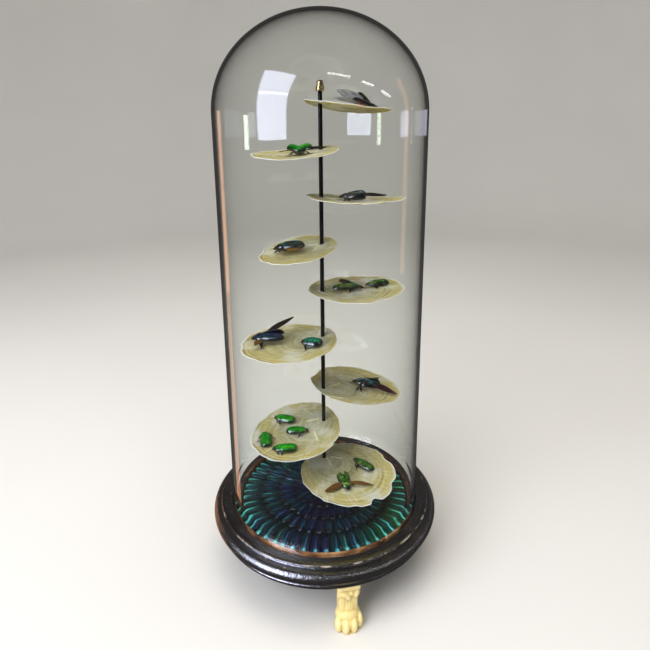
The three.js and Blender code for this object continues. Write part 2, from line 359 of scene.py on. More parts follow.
OUTSIDE = 100          # the glass's outer radius, mm
WALL = 3               # its thickness, mm
INSIDE = OUTSIDE - WALL
CROWN = 90.5           # how far the crown rises above the spring line, mm
SPRING = 476.5         # height where the straight wall ends, mm
GLASS_STEPS = 54       # in the crown's outline, fine enough for smooth mirror images
dome = turned_piece([
    *arc(0, SPRING, INSIDE, CROWN - WALL, 90, 0, GLASS_STEPS),
    *((INSIDE, height) for height in (474, 472, 280, 90, 67.6)),
    (97.8, 66.8), (99.2, 66.8),
    *((OUTSIDE, height) for height in (67.6, 90, 280, 472, 474)),
    *arc(0, SPRING, OUTSIDE, CROWN, 0, 90, GLASS_STEPS),
], steps=256)
smooth(dome, 60)
hand_over(dome, "blown_glass_dome", glass, "dome_glass", "glass_dome")

# %% [markdown]
# ## Rod and cap
# The rod is cold-drawn steel, blacked with oil: dark, with fine marks along its length that draw
# one thin bright line. The cap is turned brass: a collar with a smaller rounded barrel on it.

# %% Blacked steel, brass, and their turned pieces
steel, tree, shader = new_finish("oil_blacked_drawn_steel", {"Metallic": 0.9})
place = add_node(tree, "TexCoord").outputs["Object"]
drawn = add_node(tree, "Mapping", {"Vector": place, "Scale": (1, 1, 0.03)})
marks = add_node(tree, "TexNoise", {"Vector": drawn.outputs[0], "Scale": 2600.0, "Detail": 3.0})
blued = add_node(tree, "ValToRGB", {"Fac": marks.outputs["Fac"]}, stops=[
    (0.35, "#121011"), (0.6, "#29262a"), (0.75, "#3c383b"),
])
tree.links.new(blued.outputs[0], shader.inputs["Base Color"])
work_surface(tree, shader, marks.outputs["Fac"], rough=(0.24, 0.42))

brass, tree, shader = new_finish("turned_brass", {"Metallic": 1.0})
place = add_node(tree, "TexCoord").outputs["Object"]
rings = add_node(tree, "Mapping", {"Vector": place, "Scale": (0.05, 0.05, 1)})
lines = add_node(tree, "TexNoise", {"Vector": rings.outputs[0], "Scale": 2400.0, "Detail": 3.0})
tone = add_node(tree, "ValToRGB", {"Fac": lines.outputs["Fac"]}, stops=[
    (0.3, "#b39a62"), (0.5, "#d8bf84"), (0.75, "#f2e0ae"),
])
tree.links.new(tone.outputs[0], shader.inputs["Base Color"])
work_surface(tree, shader, lines.outputs["Fac"], rough=(0.2, 0.36))

rod = turned_piece([(0, 59.5), (1.7, 59.5), (2.05, 60), (2.05, 200), (2.05, 350), (2.05, 500.5),
                    (1.6, 500.9), (0, 500.9)], steps=32)
smooth(rod, 40)
hand_over(rod, "steel_rod", steel, "dark_steel", "rod")
cap = turned_piece([
    (0, 501.2), (2.45, 501.2), (2.45, 496.6), (3.5, 496.6), *arc(3.5, 497.1, 0.4, 0.5, -90, 0, 3),
    (3.9, 500.4), *arc(3.5, 500.4, 0.4, 0.5, 0, 80, 3), (3.1, 501.0), (3.15, 501.6), (3.2, 503.6),
    *arc(1.4, 504.2, 1.75, 2.0, 0, 90, 6), (0, 506.2),
], steps=40)
smooth(cap, 45)
hand_over(cap, "brass_end_cap", brass, "brass", "brass_cap")

# %% [markdown]
# ## Lion's paws
# The feet are cast resin lion's paws: a square plate with a moulded edge, a cuff of leaves, a
# fluted shank and a paw of four toes. A carver builds this up from lumps and then smooths it, so
# ellipsoids and boxes are added at their places, joined, and remeshed into one skin. The flutes
# are pushed in afterwards. Each vertex also keeps how hollow its place is, and the resin's colour
# reads that: the hollows are painted darker ochre, a painted shade in the creases.

# %% Paw lumps
def lump(middle, half, kind="ball", turn=0.0):
    """A ball or a box of these half sizes in mm, as a start for the paw."""
    if kind == "ball":
        bpy.ops.mesh.primitive_uv_sphere_add(segments=24, ring_count=14, radius=1)
    else:
        bpy.ops.mesh.primitive_cube_add(size=2)
    piece = bpy.context.object
    edit(piece)
    bpy.ops.transform.resize(value=[size * MM for size in half])
    if kind == "box":
        bpy.ops.mesh.bevel(offset=min(half) * 0.35 * MM, segments=2, affect="EDGES")
    bpy.ops.mesh.select_all(action="SELECT")
    bpy.ops.transform.rotate(value=-math.radians(turn), orient_axis="Y", center_override=(0, 0, 0))
    bpy.ops.transform.translate(value=[size * MM for size in middle])
    return leave()


bpy.ops.object.select_all(action="DESELECT")
lumps = [
    lump((0, 0, 47.6), (11.1, 9.9, 2.2), "box"),
    lump((0, 0.3, 42.6), (10.2, 9.0, 5.0), "box"),
    lump((0, 0.6, 32), (9.2, 7.9, 15), "box"),
    lump((0, 0.2, 23), (9.9, 8.7, 15.0)),
    lump((0, -1.8, 13), (12.2, 10.0, 11.0)),
    lump((0, -5.4, 8), (12.0, 8.8, 8.4)),
    lump((0, 5.2, 5), (9.2, 5.2, 5.2)),
    lump((-4.6, -8.6, 41.0), (5.4, 1.9, 2.6), turn=24),
    lump((-1.4, -8.9, 37.6), (2.4, 1.7, 3.4), turn=-30),
    lump((2.0, -8.7, 41.6), (1.7, 1.5, 3.4), turn=-20),
    lump((7.2, -8.4, 39.6), (2.2, 1.6, 4.4), turn=8),
    lump((9.6, -5.4, 39.6), (1.7, 2.6, 4.6)),
    lump((-9.8, -5.4, 39.6), (1.6, 2.6, 4.6)),
]
for side, forward, height, thick in ((-10.2, -7.0, 6.6, 3.8), (-3.6, -10.4, 5.6, 4.3),
                                     (4.0, -10.2, 5.8, 4.2), (10.2, -6.4, 7.6, 3.7)):
    lumps.append(lump((side, forward, height), (thick, 5.4, 8.8)))
paw = joined(lumps)

# %% One skin, flutes and hollows
SHANK_START = 25       # mm; the shank and cuff above this are softer than the toes
FLUTE_PITCH = 2.8      # mm between the hollows of the shank
PAW_TOP = 49.8         # mm; where the paw is cut flat under the base
apply_modifier(paw, "REMESH", mode="VOXEL", voxel_size=0.55 * MM)
apply_modifier(paw, "SMOOTH", factor=0.5, iterations=12)
edit(paw)
select(lambda co: co.z > SHANK_START * MM)
bpy.ops.mesh.vertices_smooth(factor=0.5, repeat=9)
leave()
for vertex in paw.data.vertices:
    x, y, z = vertex.co / MM
    shank = max(0.0, 1 - ((z - 30) / 6.5) ** 4) if y < 4 else 0.0
    flute = 0.12 * shank * math.cos(math.tau * (x + 0.4 * math.sin(z * 0.35)) / FLUTE_PITCH)
    vertex.co += Vector((0, -flute, 0)) * MM
edit(paw)
cut_off((0, 0, 0), (0, 0, -1))
cut_off((0, 0, PAW_TOP * MM), (0, 0, 1))
leave()
apply_modifier(paw, "SMOOTH", factor=0.4, iterations=1)


def hollows(piece, rounds=7):
    """Keeps how hollow each vertex's place is, from 0 on a crest to 1 in a crease."""
    mesh = bmesh.new()
    mesh.from_mesh(piece.data)
    depth = []
    for vertex in mesh.verts:
        around = [edge.other_vert(vertex).co for edge in vertex.link_edges]
        middle = sum(around, Vector()) / max(1, len(around))
        depth.append((middle - vertex.co).dot(vertex.normal) / (0.08 * MM))
    links = [[edge.other_vert(vertex).index for edge in vertex.link_edges] for vertex in mesh.verts]
    for _ in range(rounds):
        depth = [0.5 * depth[i] + 0.5 * sum(depth[j] for j in links[i]) / max(1, len(links[i]))
                 for i in range(len(depth))]
    mesh.free()
    stored = piece.data.attributes.new("hollow", "FLOAT", "POINT")
    stored.data.foreach_set("value", [min(1.0, max(0.0, 0.5 + value)) for value in depth])


hollows(paw)
print("paw", len(paw.data.polygons), "faces")

# %% [markdown]
# ## Cast resin with painted shade in the creases
# Cream resin is cast, with a faint mottle. The creases are painted darker ochre and the crests
# come up pale: painted shade. The surface is satin, with a faint cast grain.

# %% Resin finish and the three feet
resin, tree, shader = new_finish("cast_cream_resin_painted_crease_shade", {
    "Subsurface Weight": 0.12, "Subsurface Radius": (1.0, 0.7, 0.4), "Subsurface Scale": 0.0015,
    "Specular IOR Level": 0.45,
})
place = add_node(tree, "TexCoord").outputs["Object"]
hollow = add_node(tree, "Attribute", attribute_name="hollow")
mottle = add_node(tree, "TexNoise", {"Vector": place, "Scale": 240.0, "Detail": 4.0, "Roughness": 0.6})
# Painted shade: the hollower a place, the darker ochre the resin is painted, over a faint mottle.
mottle_and_crease_shade = add_node(tree, "Math", {0: mottle.outputs["Fac"], 1: 0.35, 2: hollow.outputs["Fac"]},
                operation="MULTIPLY_ADD")
cream = add_node(tree, "ValToRGB", {"Fac": mottle_and_crease_shade.outputs[0]}, stops=[
    (0.42, "#eedd9e"), (0.72, "#e4ce87"), (0.94, "#d6b970"), (1.0, "#c29d57"),
])
tree.links.new(cream.outputs[0], shader.inputs["Base Color"])
work_surface(tree, shader, mottle.outputs["Fac"], rough=(0.38, 0.56), bump=(0.25, 0.0003))

smooth(paw, 60)
FOOT_CENTRE = 105.8    # mm from the rod's axis
for side, turn in (("front", 11.2), ("right", 131.2), ("left", -108.8)):
    foot = copy_of(paw)
    foot.data.transform(Matrix.Rotation(math.radians(turn), 4, "Z")
                        @ Matrix.Translation((0, -FOOT_CENTRE * MM, 0)))
    hand_over(foot, f"lion_paw_{side}", resin, "ivory_resin", f"paw_foot_{side}")
bpy.data.objects.remove(paw)

# %% [markdown]
# ## Windowpane-oyster shells
# A windowpane oyster is a flat, thin, translucent shell. It grows outwards from its beak, so its
# rings lie closer together there, and each ring is a thin plate that ends in a small step. One
# washer is turned with a fine mesh, and each shell is a copy of it whose points are moved: its
# inner edge becomes the rod hole, its outer edge the rim, and the rings between them the growth.

# %% The nine shells' places
# Each plane passes the rod at `height` and rises by `slope` along X and Y. `centre` and `radius`
# give the outline, `oval` its out of round and direction, and `wave` lifts two opposite ends.
# `chips` are broken places on the rim: direction, half width in degrees, and depth in mm.
# `ridges` are the two raised hinge lines, each from a point to a point in plan.
SHELLS = [
    dict(height=485.9, centre=(27.1, 19.8), radius=43.0, slope=(-0.114, -0.056), oval=(0.014, 71),
         wave=(1.4, 0), chips=[], ridges=[((6, 2), (16, 4)), ((4, 6), (10, 14))]),
    dict(height=443.5, centre=(-24.1, -16.5), radius=41.2, slope=(0.064, 0.062), oval=(0.008, 95),
         wave=(1.2, 15), chips=[(195, 9, 1.6)], ridges=[((-4, -5), (-14, -6)), ((-1, -6), (-6, -15))]),
    dict(height=397.8, centre=(33.4, -8.9), radius=47.2, slope=(-0.031, -0.06), oval=(0.012, -14),
         wave=(1.7, -11), chips=[], ridges=[((5, 2), (17, 4)), ((5, -4), (14, -9))]),
    dict(height=352.4, centre=(-23.0, -11.7), radius=37.9, slope=(0.122, 0.121), oval=(0.03, 60),
         wave=(0.5, 62), chips=[(262, 7, 0.9), (118, 8, 1.0)],
         ridges=[((-4, 1), (-13, 3)), ((-3, -4), (-8, -13))]),
    dict(height=302.5, centre=(34.6, 5.4), radius=47.6, slope=(0.027, -0.007), oval=(0.015, 5),
         wave=(0.9, 10), chips=[(-60, 8, 1.0)],
         ridges=[((-4.3, 2.7), (3.7, -8.5)), ((3, 23), (6, 15)), ((5, 3), (12, 10))]),
    dict(height=254.7, centre=(-34.4, -12.9), radius=48.5, slope=(0.048, 0.02), oval=(0.013, 11),
         wave=(0.5, 23), chips=[], ridges=[((-4, 4), (-3, 14)), ((-5, -4), (-14, -9))]),
    dict(height=196.0, centre=(36.2, 14.9), radius=48.1, slope=(-0.14, -0.044), oval=(0.011, -21),
         wave=(0.4, 107), chips=[(-54, 7, 3.2), (-68, 6, 1.4), (160, 12, 2.0), (12, 7, 1.6)],
         ridges=[((3.6, -20), (20, -19)), ((6, 6), (18, 19))]),
    dict(height=158.0, centre=(-29.3, -16.5), radius=47.7, slope=(0.073, 0.095), oval=(0.033, 56),
         wave=(1.1, 72), chips=[(140, 7, 1.2), (215, 6, 1.2), (-30, 6, 1.1)],
         ridges=[((-10, -17), (-6, -33)), ((-6, 3), (-18, 1))]),
    dict(height=112.8, centre=(25.6, -25.4), radius=48.3, slope=(-0.045, 0.095), oval=(0.026, 2),
         wave=(0.3, 58), chips=[(-17, 9, 3.0), (-30, 5, 1.2), (-57, 7, 4.6), (-84, 6, 1.5), (28, 8, 1.6)],
         ridges=[((2, 1.6), (7.4, -11)), ((8, 1), (19, -1))]),
]
DISH = 3.2             # mm that a rim stands above the middle
SHELL_THICKNESS = 0.9
RING_STEPS = 24        # growth plates between beak and rim


def shell_height(shell, x, y):
    """Height in mm of a shell's upper face at a point in plan."""
    cx, cy = shell["centre"]
    out = math.hypot(x - cx, y - cy) / shell["radius"]
    hole = math.hypot(cx, cy) / shell["radius"]
    lift, turn = shell["wave"]
    wave = lift * out ** 2 * math.cos(2 * (math.atan2(y - cy, x - cx) - math.radians(turn)))
    level = shell["height"] + shell["slope"][0] * x + shell["slope"][1] * y
    return level + DISH * (out ** 2 - hole ** 2) + wave


# %% Growth of one shell
def from_line(x, y, start, end):
    """Distance in mm from a point to a straight ridge."""
    along = Vector(end) - Vector(start)
    share = (Vector((x, y)) - Vector(start)).dot(along) / along.length_squared
    nearest = Vector(start) + along * min(1.0, max(0.0, share))
    return (Vector((x, y)) - nearest).length


def grown_point(shell, seed, growth, angle, upper):
    """A point of the shell in mm: growth runs from 0 at the rod hole to 1 at the rim."""
    cx, cy = shell["centre"]
    amount, way = shell["oval"]
    radius = shell["radius"] * (1 + amount * math.cos(2 * (angle - math.radians(way))))
    around = Vector((math.cos(angle), math.sin(angle), seed))
    radius += growth ** 3 * (1.0 * noise.noise(around * 2.3) + 0.9 * noise.noise(around * 5.0))
    radius += growth ** 8 * (0.5 - 2.2 * abs(noise.noise(around * 3.4)))
    radius += growth ** 12 * 0.5 * noise.noise(around * 20.0)
    for direction, half_width, depth in shell["chips"]:
        off = (math.degrees(angle) - direction + 180) % 360 - 180
        bite = max(0.0, 1 - abs(off / half_width)) ** 0.5
        ragged = 1 + 0.5 * noise.noise(around * 60.0)
        radius -= 1.2 * depth * bite * ragged * max(0.0, (growth - 0.8) / 0.2)
    reach = ROD_HOLE + (radius - ROD_HOLE) * growth
    x = cx * growth + reach * math.cos(angle)
    y = cy * growth + reach * math.sin(angle)
    ring = growth * RING_STEPS + 1.3 * noise.noise(around * 1.6)
    step = (ring % 1.0) * 0.3 - 0.15
    ripple = 0.8 * noise.noise(Vector((x / 9, y / 9, seed))) * growth
    height = shell_height(shell, x, y) + ripple
    if upper:
        ridge = min(from_line(x, y, *line) for line in shell["ridges"])
        height += step + 0.55 * max(0.0, 1 - ridge / 1.1)
    else:
        edge = 0.35 * growth ** 10
        height += -SHELL_THICKNESS + edge - step * 0.6
    return Vector((x, y, height)), ridge if upper else 9.0


# %% The washer and its nine copies
GROWTH_STEPS = 64
radii = [1 + i / GROWTH_STEPS for i in range(GROWTH_STEPS + 1)]
washer = turned_piece([(r, 0) for r in radii] + [(r, 1) for r in reversed(radii)] + [(radii[0], 0)],
                      steps=150)
shells = []
for number, shell in enumerate(SHELLS, 1):
    copy = copy_of(washer)
    copy.data.attributes.new("grown", "FLOAT_VECTOR", "POINT")
    copy.data.attributes.new("hinge", "FLOAT", "POINT")
    grown, hinge = copy.data.attributes["grown"], copy.data.attributes["hinge"]
    for vertex in copy.data.vertices:
        x, y, side = vertex.co / MM
        growth = min(1.0, max(0.0, math.hypot(x, y) - 1))
        angle = math.atan2(y, x)
        point, ridge = grown_point(shell, number * 7.3, growth, angle, side > 0.5)
        vertex.co = point * MM
        grown.data[vertex.index].vector = (math.cos(angle), math.sin(angle), growth)
        hinge.data[vertex.index].value = max(0.0, 1 - ridge / 1.4)
    smooth(copy, 50)
    shells.append(copy)
bpy.data.objects.remove(washer)
print("shells:", len(shells), "of", len(shells[0].data.polygons), "faces")

# %% [markdown]
# ## Nacre
# Windowpane shell is thin layers of calcite: milky, a little see-through and glossy, olive and
# grey in the middle and creamier towards the rim. The rim itself is painted near white, a painted
# glow where light gathers in the edge, and the raised hinge ridges are painted pale, a painted
# highlight. The rings and the fine rays follow the growth, so the finish reads the growth that
# each point kept, not plain space.

# %% Nacre finish
nacre, tree, shader = new_finish("windowpane_oyster_nacre", {
    "Subsurface Weight": 0.6, "Subsurface Radius": (1.0, 0.85, 0.4), "Subsurface Scale": 0.004,
    "Coat Weight": 0.35, "Coat Roughness": 0.18, "Specular IOR Level": 0.6,
})
place = add_node(tree, "TexCoord").outputs["Object"]
kept = add_node(tree, "Attribute", attribute_name="grown").outputs["Vector"]
growth = add_node(tree, "SeparateXYZ", {0: kept}).outputs["Z"]
rings = add_node(tree, "Mapping", {"Vector": kept, "Scale": (0.5, 0.5, 34)})
banded = add_node(tree, "TexNoise", {"Vector": rings.outputs[0], "Scale": 1.0, "Detail": 6.0,
                                     "Roughness": 0.68})
rays = add_node(tree, "Mapping", {"Vector": kept, "Scale": (30, 30, 2.5)})
rayed = add_node(tree, "TexNoise", {"Vector": rays.outputs[0], "Scale": 1.6, "Detail": 4.0})
cloud = add_node(tree, "TexNoise", {"Vector": place, "Scale": 42.0, "Detail": 4.0, "Roughness": 0.55})
body = add_node(tree, "ValToRGB", {"Fac": growth}, stops=[
    (0.0, "#d8d5be"), (0.22, "#c6c4a6"), (0.5, "#c2bd91"), (0.78, "#cec38b"), (0.94, "#d3c484"),
    (1.0, "#dfd3a4"),
])
ringed = add_node(tree, "ValToRGB", {"Fac": banded.outputs["Fac"]}, stops=[
    (0.34, "#98937a"), (0.45, "#d4d1c0"), (0.55, "#f0eee6"), (0.66, "#ffffff"),
])
tint = add_node(tree, "Mix", {0: 0.85, 6: body.outputs[0], 7: ringed.outputs[0]},
                data_type="RGBA", blend_type="MULTIPLY")
pearl = add_node(tree, "MapRange", {"Value": cloud.outputs["Fac"], 1: 0.48, 2: 0.66, 3: 0.0, 4: 0.6})
tint = add_node(tree, "Mix", {0: pearl.outputs[0], 6: tint.outputs[2], 7: colour("#e6e7df")},
                data_type="RGBA")
ray = add_node(tree, "MapRange", {"Value": rayed.outputs["Fac"], 1: 0.54, 2: 0.66, 3: 0.0, 4: 0.5})
tint = add_node(tree, "Mix", {0: ray.outputs[0], 6: tint.outputs[2], 7: colour("#f7f4e4")},
                data_type="RGBA")
# Painted highlight: the raised hinge ridges are painted pale.
line = add_node(tree, "Attribute", attribute_name="hinge").outputs["Fac"]
tint = add_node(tree, "Mix", {0: line, 6: tint.outputs[2], 7: colour("#fbf4cc")}, data_type="RGBA")
# Painted glow: the last bit of the rim is painted near white, where light gathers in the edge.
rim_glow = add_node(tree, "MapRange", {"Value": growth, 1: 0.975, 2: 0.995, 4: 0.9})
tint = add_node(tree, "Mix", {0: rim_glow.outputs[0], 6: tint.outputs[2], 7: colour("#fffdf2")},
                data_type="RGBA")
tree.links.new(tint.outputs[2], shader.inputs["Base Color"])
work_surface(tree, shader, banded.outputs["Fac"], rough=(0.5, 0.3))
relief = add_node(tree, "Math", {0: rayed.outputs["Fac"], 1: 0.4, 2: banded.outputs["Fac"]},
                  operation="MULTIPLY_ADD")
bump = add_node(tree, "Bump", {"Height": relief.outputs[0], "Strength": 0.8, "Distance": 0.0012})
tree.links.new(bump.outputs[0], shader.inputs["Normal"])
for number, piece in enumerate(shells, 1):
    hand_over(piece, f"windowpane_shell_{number}", nacre, "oyster_shell", f"oyster_shell_{number}")

# %% [markdown]
# ## The floor of wing cases
# A wing case is the hard front wing of a jewel beetle: a long, arched, pointed scoop, wide at
# the shoulder. The floor is laid in rings from the rim inwards, shoulders outwards, and each ring
# lies over the points of the ring outside it, like roof tiles. One wing case of a few dozen
# faces is modelled and copied, and each copy keeps a colour that depends on its place.

# %% One wing case
CASE_LENGTH = 31.0
CASE_WIDTH = 12.4
CASE_HEIGHT = 3.6
bpy.ops.object.select_all(action="DESELECT")
bpy.ops.mesh.primitive_uv_sphere_add(segments=12, ring_count=10, radius=1)
case = bpy.context.object
edit(case)
bpy.ops.transform.rotate(value=math.pi / 2, orient_axis="Y", center_override=(0, 0, 0))
cut_off((0, 0, 0), (0, 0, -1))
bpy.ops.transform.resize(value=(CASE_LENGTH / 2 * MM, CASE_WIDTH / 2 * MM, CASE_HEIGHT * MM),
                         center_override=(0, 0, 0))
bpy.ops.transform.translate(value=(-CASE_LENGTH / 2 * MM, 0, 0))
for start, narrower in ((-9, 0.84), (-16, 0.82), (-22, 0.8)):
    select(lambda co, start=start: co.x < start * MM)
    bpy.ops.transform.resize(value=(1, narrower, narrower), center_override=(0, 0, 0))
select(lambda co: co.x > -4.5 * MM)
bpy.ops.transform.resize(value=(1, 1.28, 1.1), center_override=(0, 0, 0))
select(lambda co: co.x > -1.0 * MM)
bpy.ops.transform.translate(value=(-1.1 * MM, 0, 0.5 * MM))
case = leave()
print("wing case", len(case.data.polygons), "faces")

# %% Rings of wing cases
CASE_RINGS = [         # outer end's radius, how many, lift of the outer end and of the point, mm
    (91.6, 53, 0.2, 0.1),
    (71.0, 42, 2.0, 0.1),
    (52.0, 31, 2.4, 0.3),
    (34.5, 20, 3.0, 0.5),
    (19.5, 11, 3.4, 1.2),
]
FLOOR_LEVEL = 70.6


def case_hue_and_sheen(azimuth, ring):
    """Wing-case colour from 0, green, to 1, violet, by the direction from the front and the ring, with a
    random part: a painted sheen, violet at the front, as the iridescence looks under this light.
    """
    front = math.exp(-((azimuth + 180) % 360 - 180) ** 2 / 1400)
    side = 0.10 if azimuth % 360 < 180 else 0.27
    return min(1.0, max(0.0, side + 0.36 * front + 0.09 * ring + random.uniform(-0.1, 0.16)))


def case_highlight(azimuth, ring):
    """How bright the rib's painted highlight is: most at the left and right rims."""
    sides = 0.25 + 0.75 * abs(math.sin(math.radians(azimuth)))
    return sides * (1 - 0.15 * ring) * random.uniform(0.35, 1.3)


cases = []
for ring, (outer, count, lift, point_lift) in enumerate(CASE_RINGS):
    for i in range(count):
        azimuth = 360 * (i + 0.5 * (ring % 2)) / count + random.uniform(-0.6, 0.6)
        copy = copy_of(case)
        shorter = min(1.0, (outer - 3.2) / CASE_LENGTH)
        pitch = math.asin((lift - point_lift) / (CASE_LENGTH * shorter))
        roll = math.radians(random.uniform(-5, 5) + 15)
        width = math.tau * outer / count / CASE_WIDTH * 1.16
        copy.data.attributes.new("along", "FLOAT_VECTOR", "POINT")
        copy.data.attributes.new("tint", "FLOAT", "POINT")
        copy.data.attributes.new("highlight_strength", "FLOAT", "POINT")
        own = copy.data.attributes["along"]
        for vertex in copy.data.vertices:
            own.data[vertex.index].vector = (vertex.co.x / (CASE_LENGTH * MM) + 1,
                                             vertex.co.y / (CASE_WIDTH * MM), i + 100 * ring)
        every = len(copy.data.vertices)
        copy.data.attributes["tint"].data.foreach_set("value", [case_hue_and_sheen(azimuth, ring)] * every)
        copy.data.attributes["highlight_strength"].data.foreach_set("value", [case_highlight(azimuth, ring)] * every)
        copy.data.transform(
            Matrix.Rotation(math.radians(azimuth - 90), 4, "Z")
            @ Matrix.Translation(((outer + random.uniform(-0.4, 0.3)) * MM, 0,
                                  (FLOOR_LEVEL + lift) * MM))
            @ Matrix.Rotation(-pitch, 4, "Y") @ Matrix.Rotation(roll, 4, "X")
            @ Matrix.Diagonal((shorter, width, 1, 1)))
        cases.append(copy)
bpy.data.objects.remove(case)

# %% The floor as one piece
floor_disc = turned_piece([(ROD_HOLE, 69.8), (92.1, 69.8), (92.1, 70.6), (60, 71.2), (20, 72.0),
                           (ROD_HOLE, 72.4), (ROD_HOLE, 69.8)], steps=96)
floor_disc = joined([floor_disc, *cases])
smooth(floor_disc, 50)

# %% [markdown]
# ## Iridescent chitin
# The colour of these wing cases isn't a dye: thin layers in the chitin reflect one band of light,
# like a dark mirror. So the finish is half metal with a deep colour under a thin coat. Each case
# has a rib painted as a bright streak, a painted highlight, and in the outer ring its shoulder is
# painted cyan, a painted glint. Both are less metallic, so that soft light shows their colour. The
# inner rings' shoulders are painted dark, a painted shade, so that the rings run into one another.
# The colour shifts with how each point faces, seen in the object's own directions, and from case to
# case: a painted sheen, violet at the front and greener at the sides, as the iridescence looks under
# this light, with a random part. Lines of fine pits run lengthwise.

# %% Wing-case finish
jewel, tree, shader = new_finish("jewel_beetle_wing_case", {
    "Coat Weight": 0.3, "Coat Roughness": 0.25, "Coat IOR": 1.6,
})
own = add_node(tree, "Attribute", attribute_name="along").outputs["Vector"]
place = add_node(tree, "SeparateXYZ", {0: own})
tint = add_node(tree, "Attribute", attribute_name="tint").outputs["Fac"]
facing = add_node(tree, "SeparateXYZ", {0: add_node(tree, "TexCoord").outputs["Normal"]})
# Painted sheen: the hue follows which way each face turns and each case's tint, as the iridescence looks
# under this light.
shift = add_node(tree, "Math", {0: facing.outputs["X"], 1: 0.22, 2: tint}, operation="MULTIPLY_ADD")
hue = add_node(tree, "ValToRGB", {"Fac": shift.outputs[0]}, stops=[
    (0.0, "#04461c"), (0.2, "#064c3c"), (0.42, "#083a50"), (0.62, "#0d2152"), (0.82, "#1b1544"),
    (1.0, "#26123c"),
])
highlight_hue = add_node(tree, "ValToRGB", {"Fac": shift.outputs[0]}, stops=[
    (0.0, "#66ff9a"), (0.2, "#62ffe0"), (0.42, "#5cd2f0"), (0.62, "#4a7ed8"), (0.82, "#5858b8"),
    (1.0, "#7a58a8"),
])
deep = add_node(tree, "MapRange", {"Value": place.outputs["X"], 1: 0.3, 2: 0.9, 3: 0.25, 4: 1.0})
shade = add_node(tree, "Mix", {0: deep.outputs[0], 6: colour("#030509"), 7: hue.outputs[0]},
                 data_type="RGBA")
lines = add_node(tree, "Mapping", {"Vector": own, "Scale": (5, 70, 1)})
pits = add_node(tree, "TexNoise", {"Vector": lines.outputs[0], "Scale": 1.0, "Detail": 3.0})

# %% The rib's painted highlight and the shoulder's painted glint
# Painted highlight: a bright streak along each case's rib, strongest at the left and right rims.
aside = add_node(tree, "Math", {0: place.outputs["Y"], 1: 0.13}, operation="SUBTRACT")
aside = add_node(tree, "Math", {0: aside.outputs[0]}, operation="ABSOLUTE")
rib_highlight = add_node(tree, "MapRange", {"Value": aside.outputs[0], 1: 0.02, 2: 0.075, 3: 1.0, 4: 0.0})
reach = add_node(tree, "MapRange", {"Value": place.outputs["X"], 1: 0.42, 2: 0.8})
rib_highlight = add_node(tree, "Math", {0: rib_highlight.outputs[0], 1: reach.outputs[0]}, operation="MULTIPLY")
highlight_strength = add_node(tree, "Attribute", attribute_name="highlight_strength").outputs["Fac"]
rib_highlight = add_node(tree, "Math", {0: rib_highlight.outputs[0], 1: highlight_strength}, operation="MULTIPLY", use_clamp=True)
shade = add_node(tree, "Mix", {0: rib_highlight.outputs[0], 6: shade.outputs[2], 7: highlight_hue.outputs[0]},
                 data_type="RGBA")
inner = add_node(tree, "MapRange", {"Value": place.outputs["Z"], 1: 60.0, 2: 90.0})
# Painted glint: the shoulders of the outer ring are painted cyan.
shoulder_glint = add_node(tree, "Mix", {0: 0.45, 6: colour("#78f4e6"), 7: highlight_hue.outputs[0]},
                    data_type="RGBA")
outer_ring = add_node(tree, "Math", {0: 1.0, 1: inner.outputs[0]}, operation="SUBTRACT")
tip_glint = add_node(tree, "MapRange", {"Value": place.outputs["X"], 1: 0.8, 2: 0.87, 4: 0.95})
tip_glint = add_node(tree, "Math", {0: tip_glint.outputs[0], 1: outer_ring.outputs[0]}, operation="MULTIPLY")
broken = add_node(tree, "MapRange", {"Value": pits.outputs["Fac"], 1: 0.42, 2: 0.52})
tip_glint = add_node(tree, "Math", {0: tip_glint.outputs[0], 1: broken.outputs[0]}, operation="MULTIPLY")
spread = add_node(tree, "Math", {0: highlight_strength, 1: 0.11, 2: aside.outputs[0]}, operation="MULTIPLY_ADD")
middle = add_node(tree, "MapRange", {"Value": spread.outputs[0], 1: 0.13, 2: 0.24, 3: 1.0, 4: 0.0})
tip_glint = add_node(tree, "Math", {0: tip_glint.outputs[0], 1: middle.outputs[0]}, operation="MULTIPLY")
shade = add_node(tree, "Mix", {0: tip_glint.outputs[0], 6: shade.outputs[2], 7: shoulder_glint.outputs[2]},
                 data_type="RGBA")
# Painted shade: the shoulders of the inner rings are painted near black.
shadow = add_node(tree, "MapRange", {"Value": place.outputs["X"], 1: 0.7, 2: 0.92, 4: 0.9})
shadow = add_node(tree, "Math", {0: shadow.outputs[0], 1: inner.outputs[0]}, operation="MULTIPLY")
shade = add_node(tree, "Mix", {0: shadow.outputs[0], 6: shade.outputs[2], 7: colour("#05070f")},
                 data_type="RGBA")
tree.links.new(shade.outputs[2], shader.inputs["Base Color"])
highlight_mask = add_node(tree, "Math", {0: rib_highlight.outputs[0], 1: tip_glint.outputs[0]}, operation="MAXIMUM")
metal = add_node(tree, "MapRange", {"Value": highlight_mask.outputs[0], 3: 0.55, 4: 0.1})
tree.links.new(metal.outputs[0], shader.inputs["Metallic"])
work_surface(tree, shader, pits.outputs["Fac"], rough=(0.18, 0.36), bump=(0.35, 0.0004))
hand_over(floor_disc, "fan_of_wing_cases", jewel, "wing_case", "wing_case_bed")
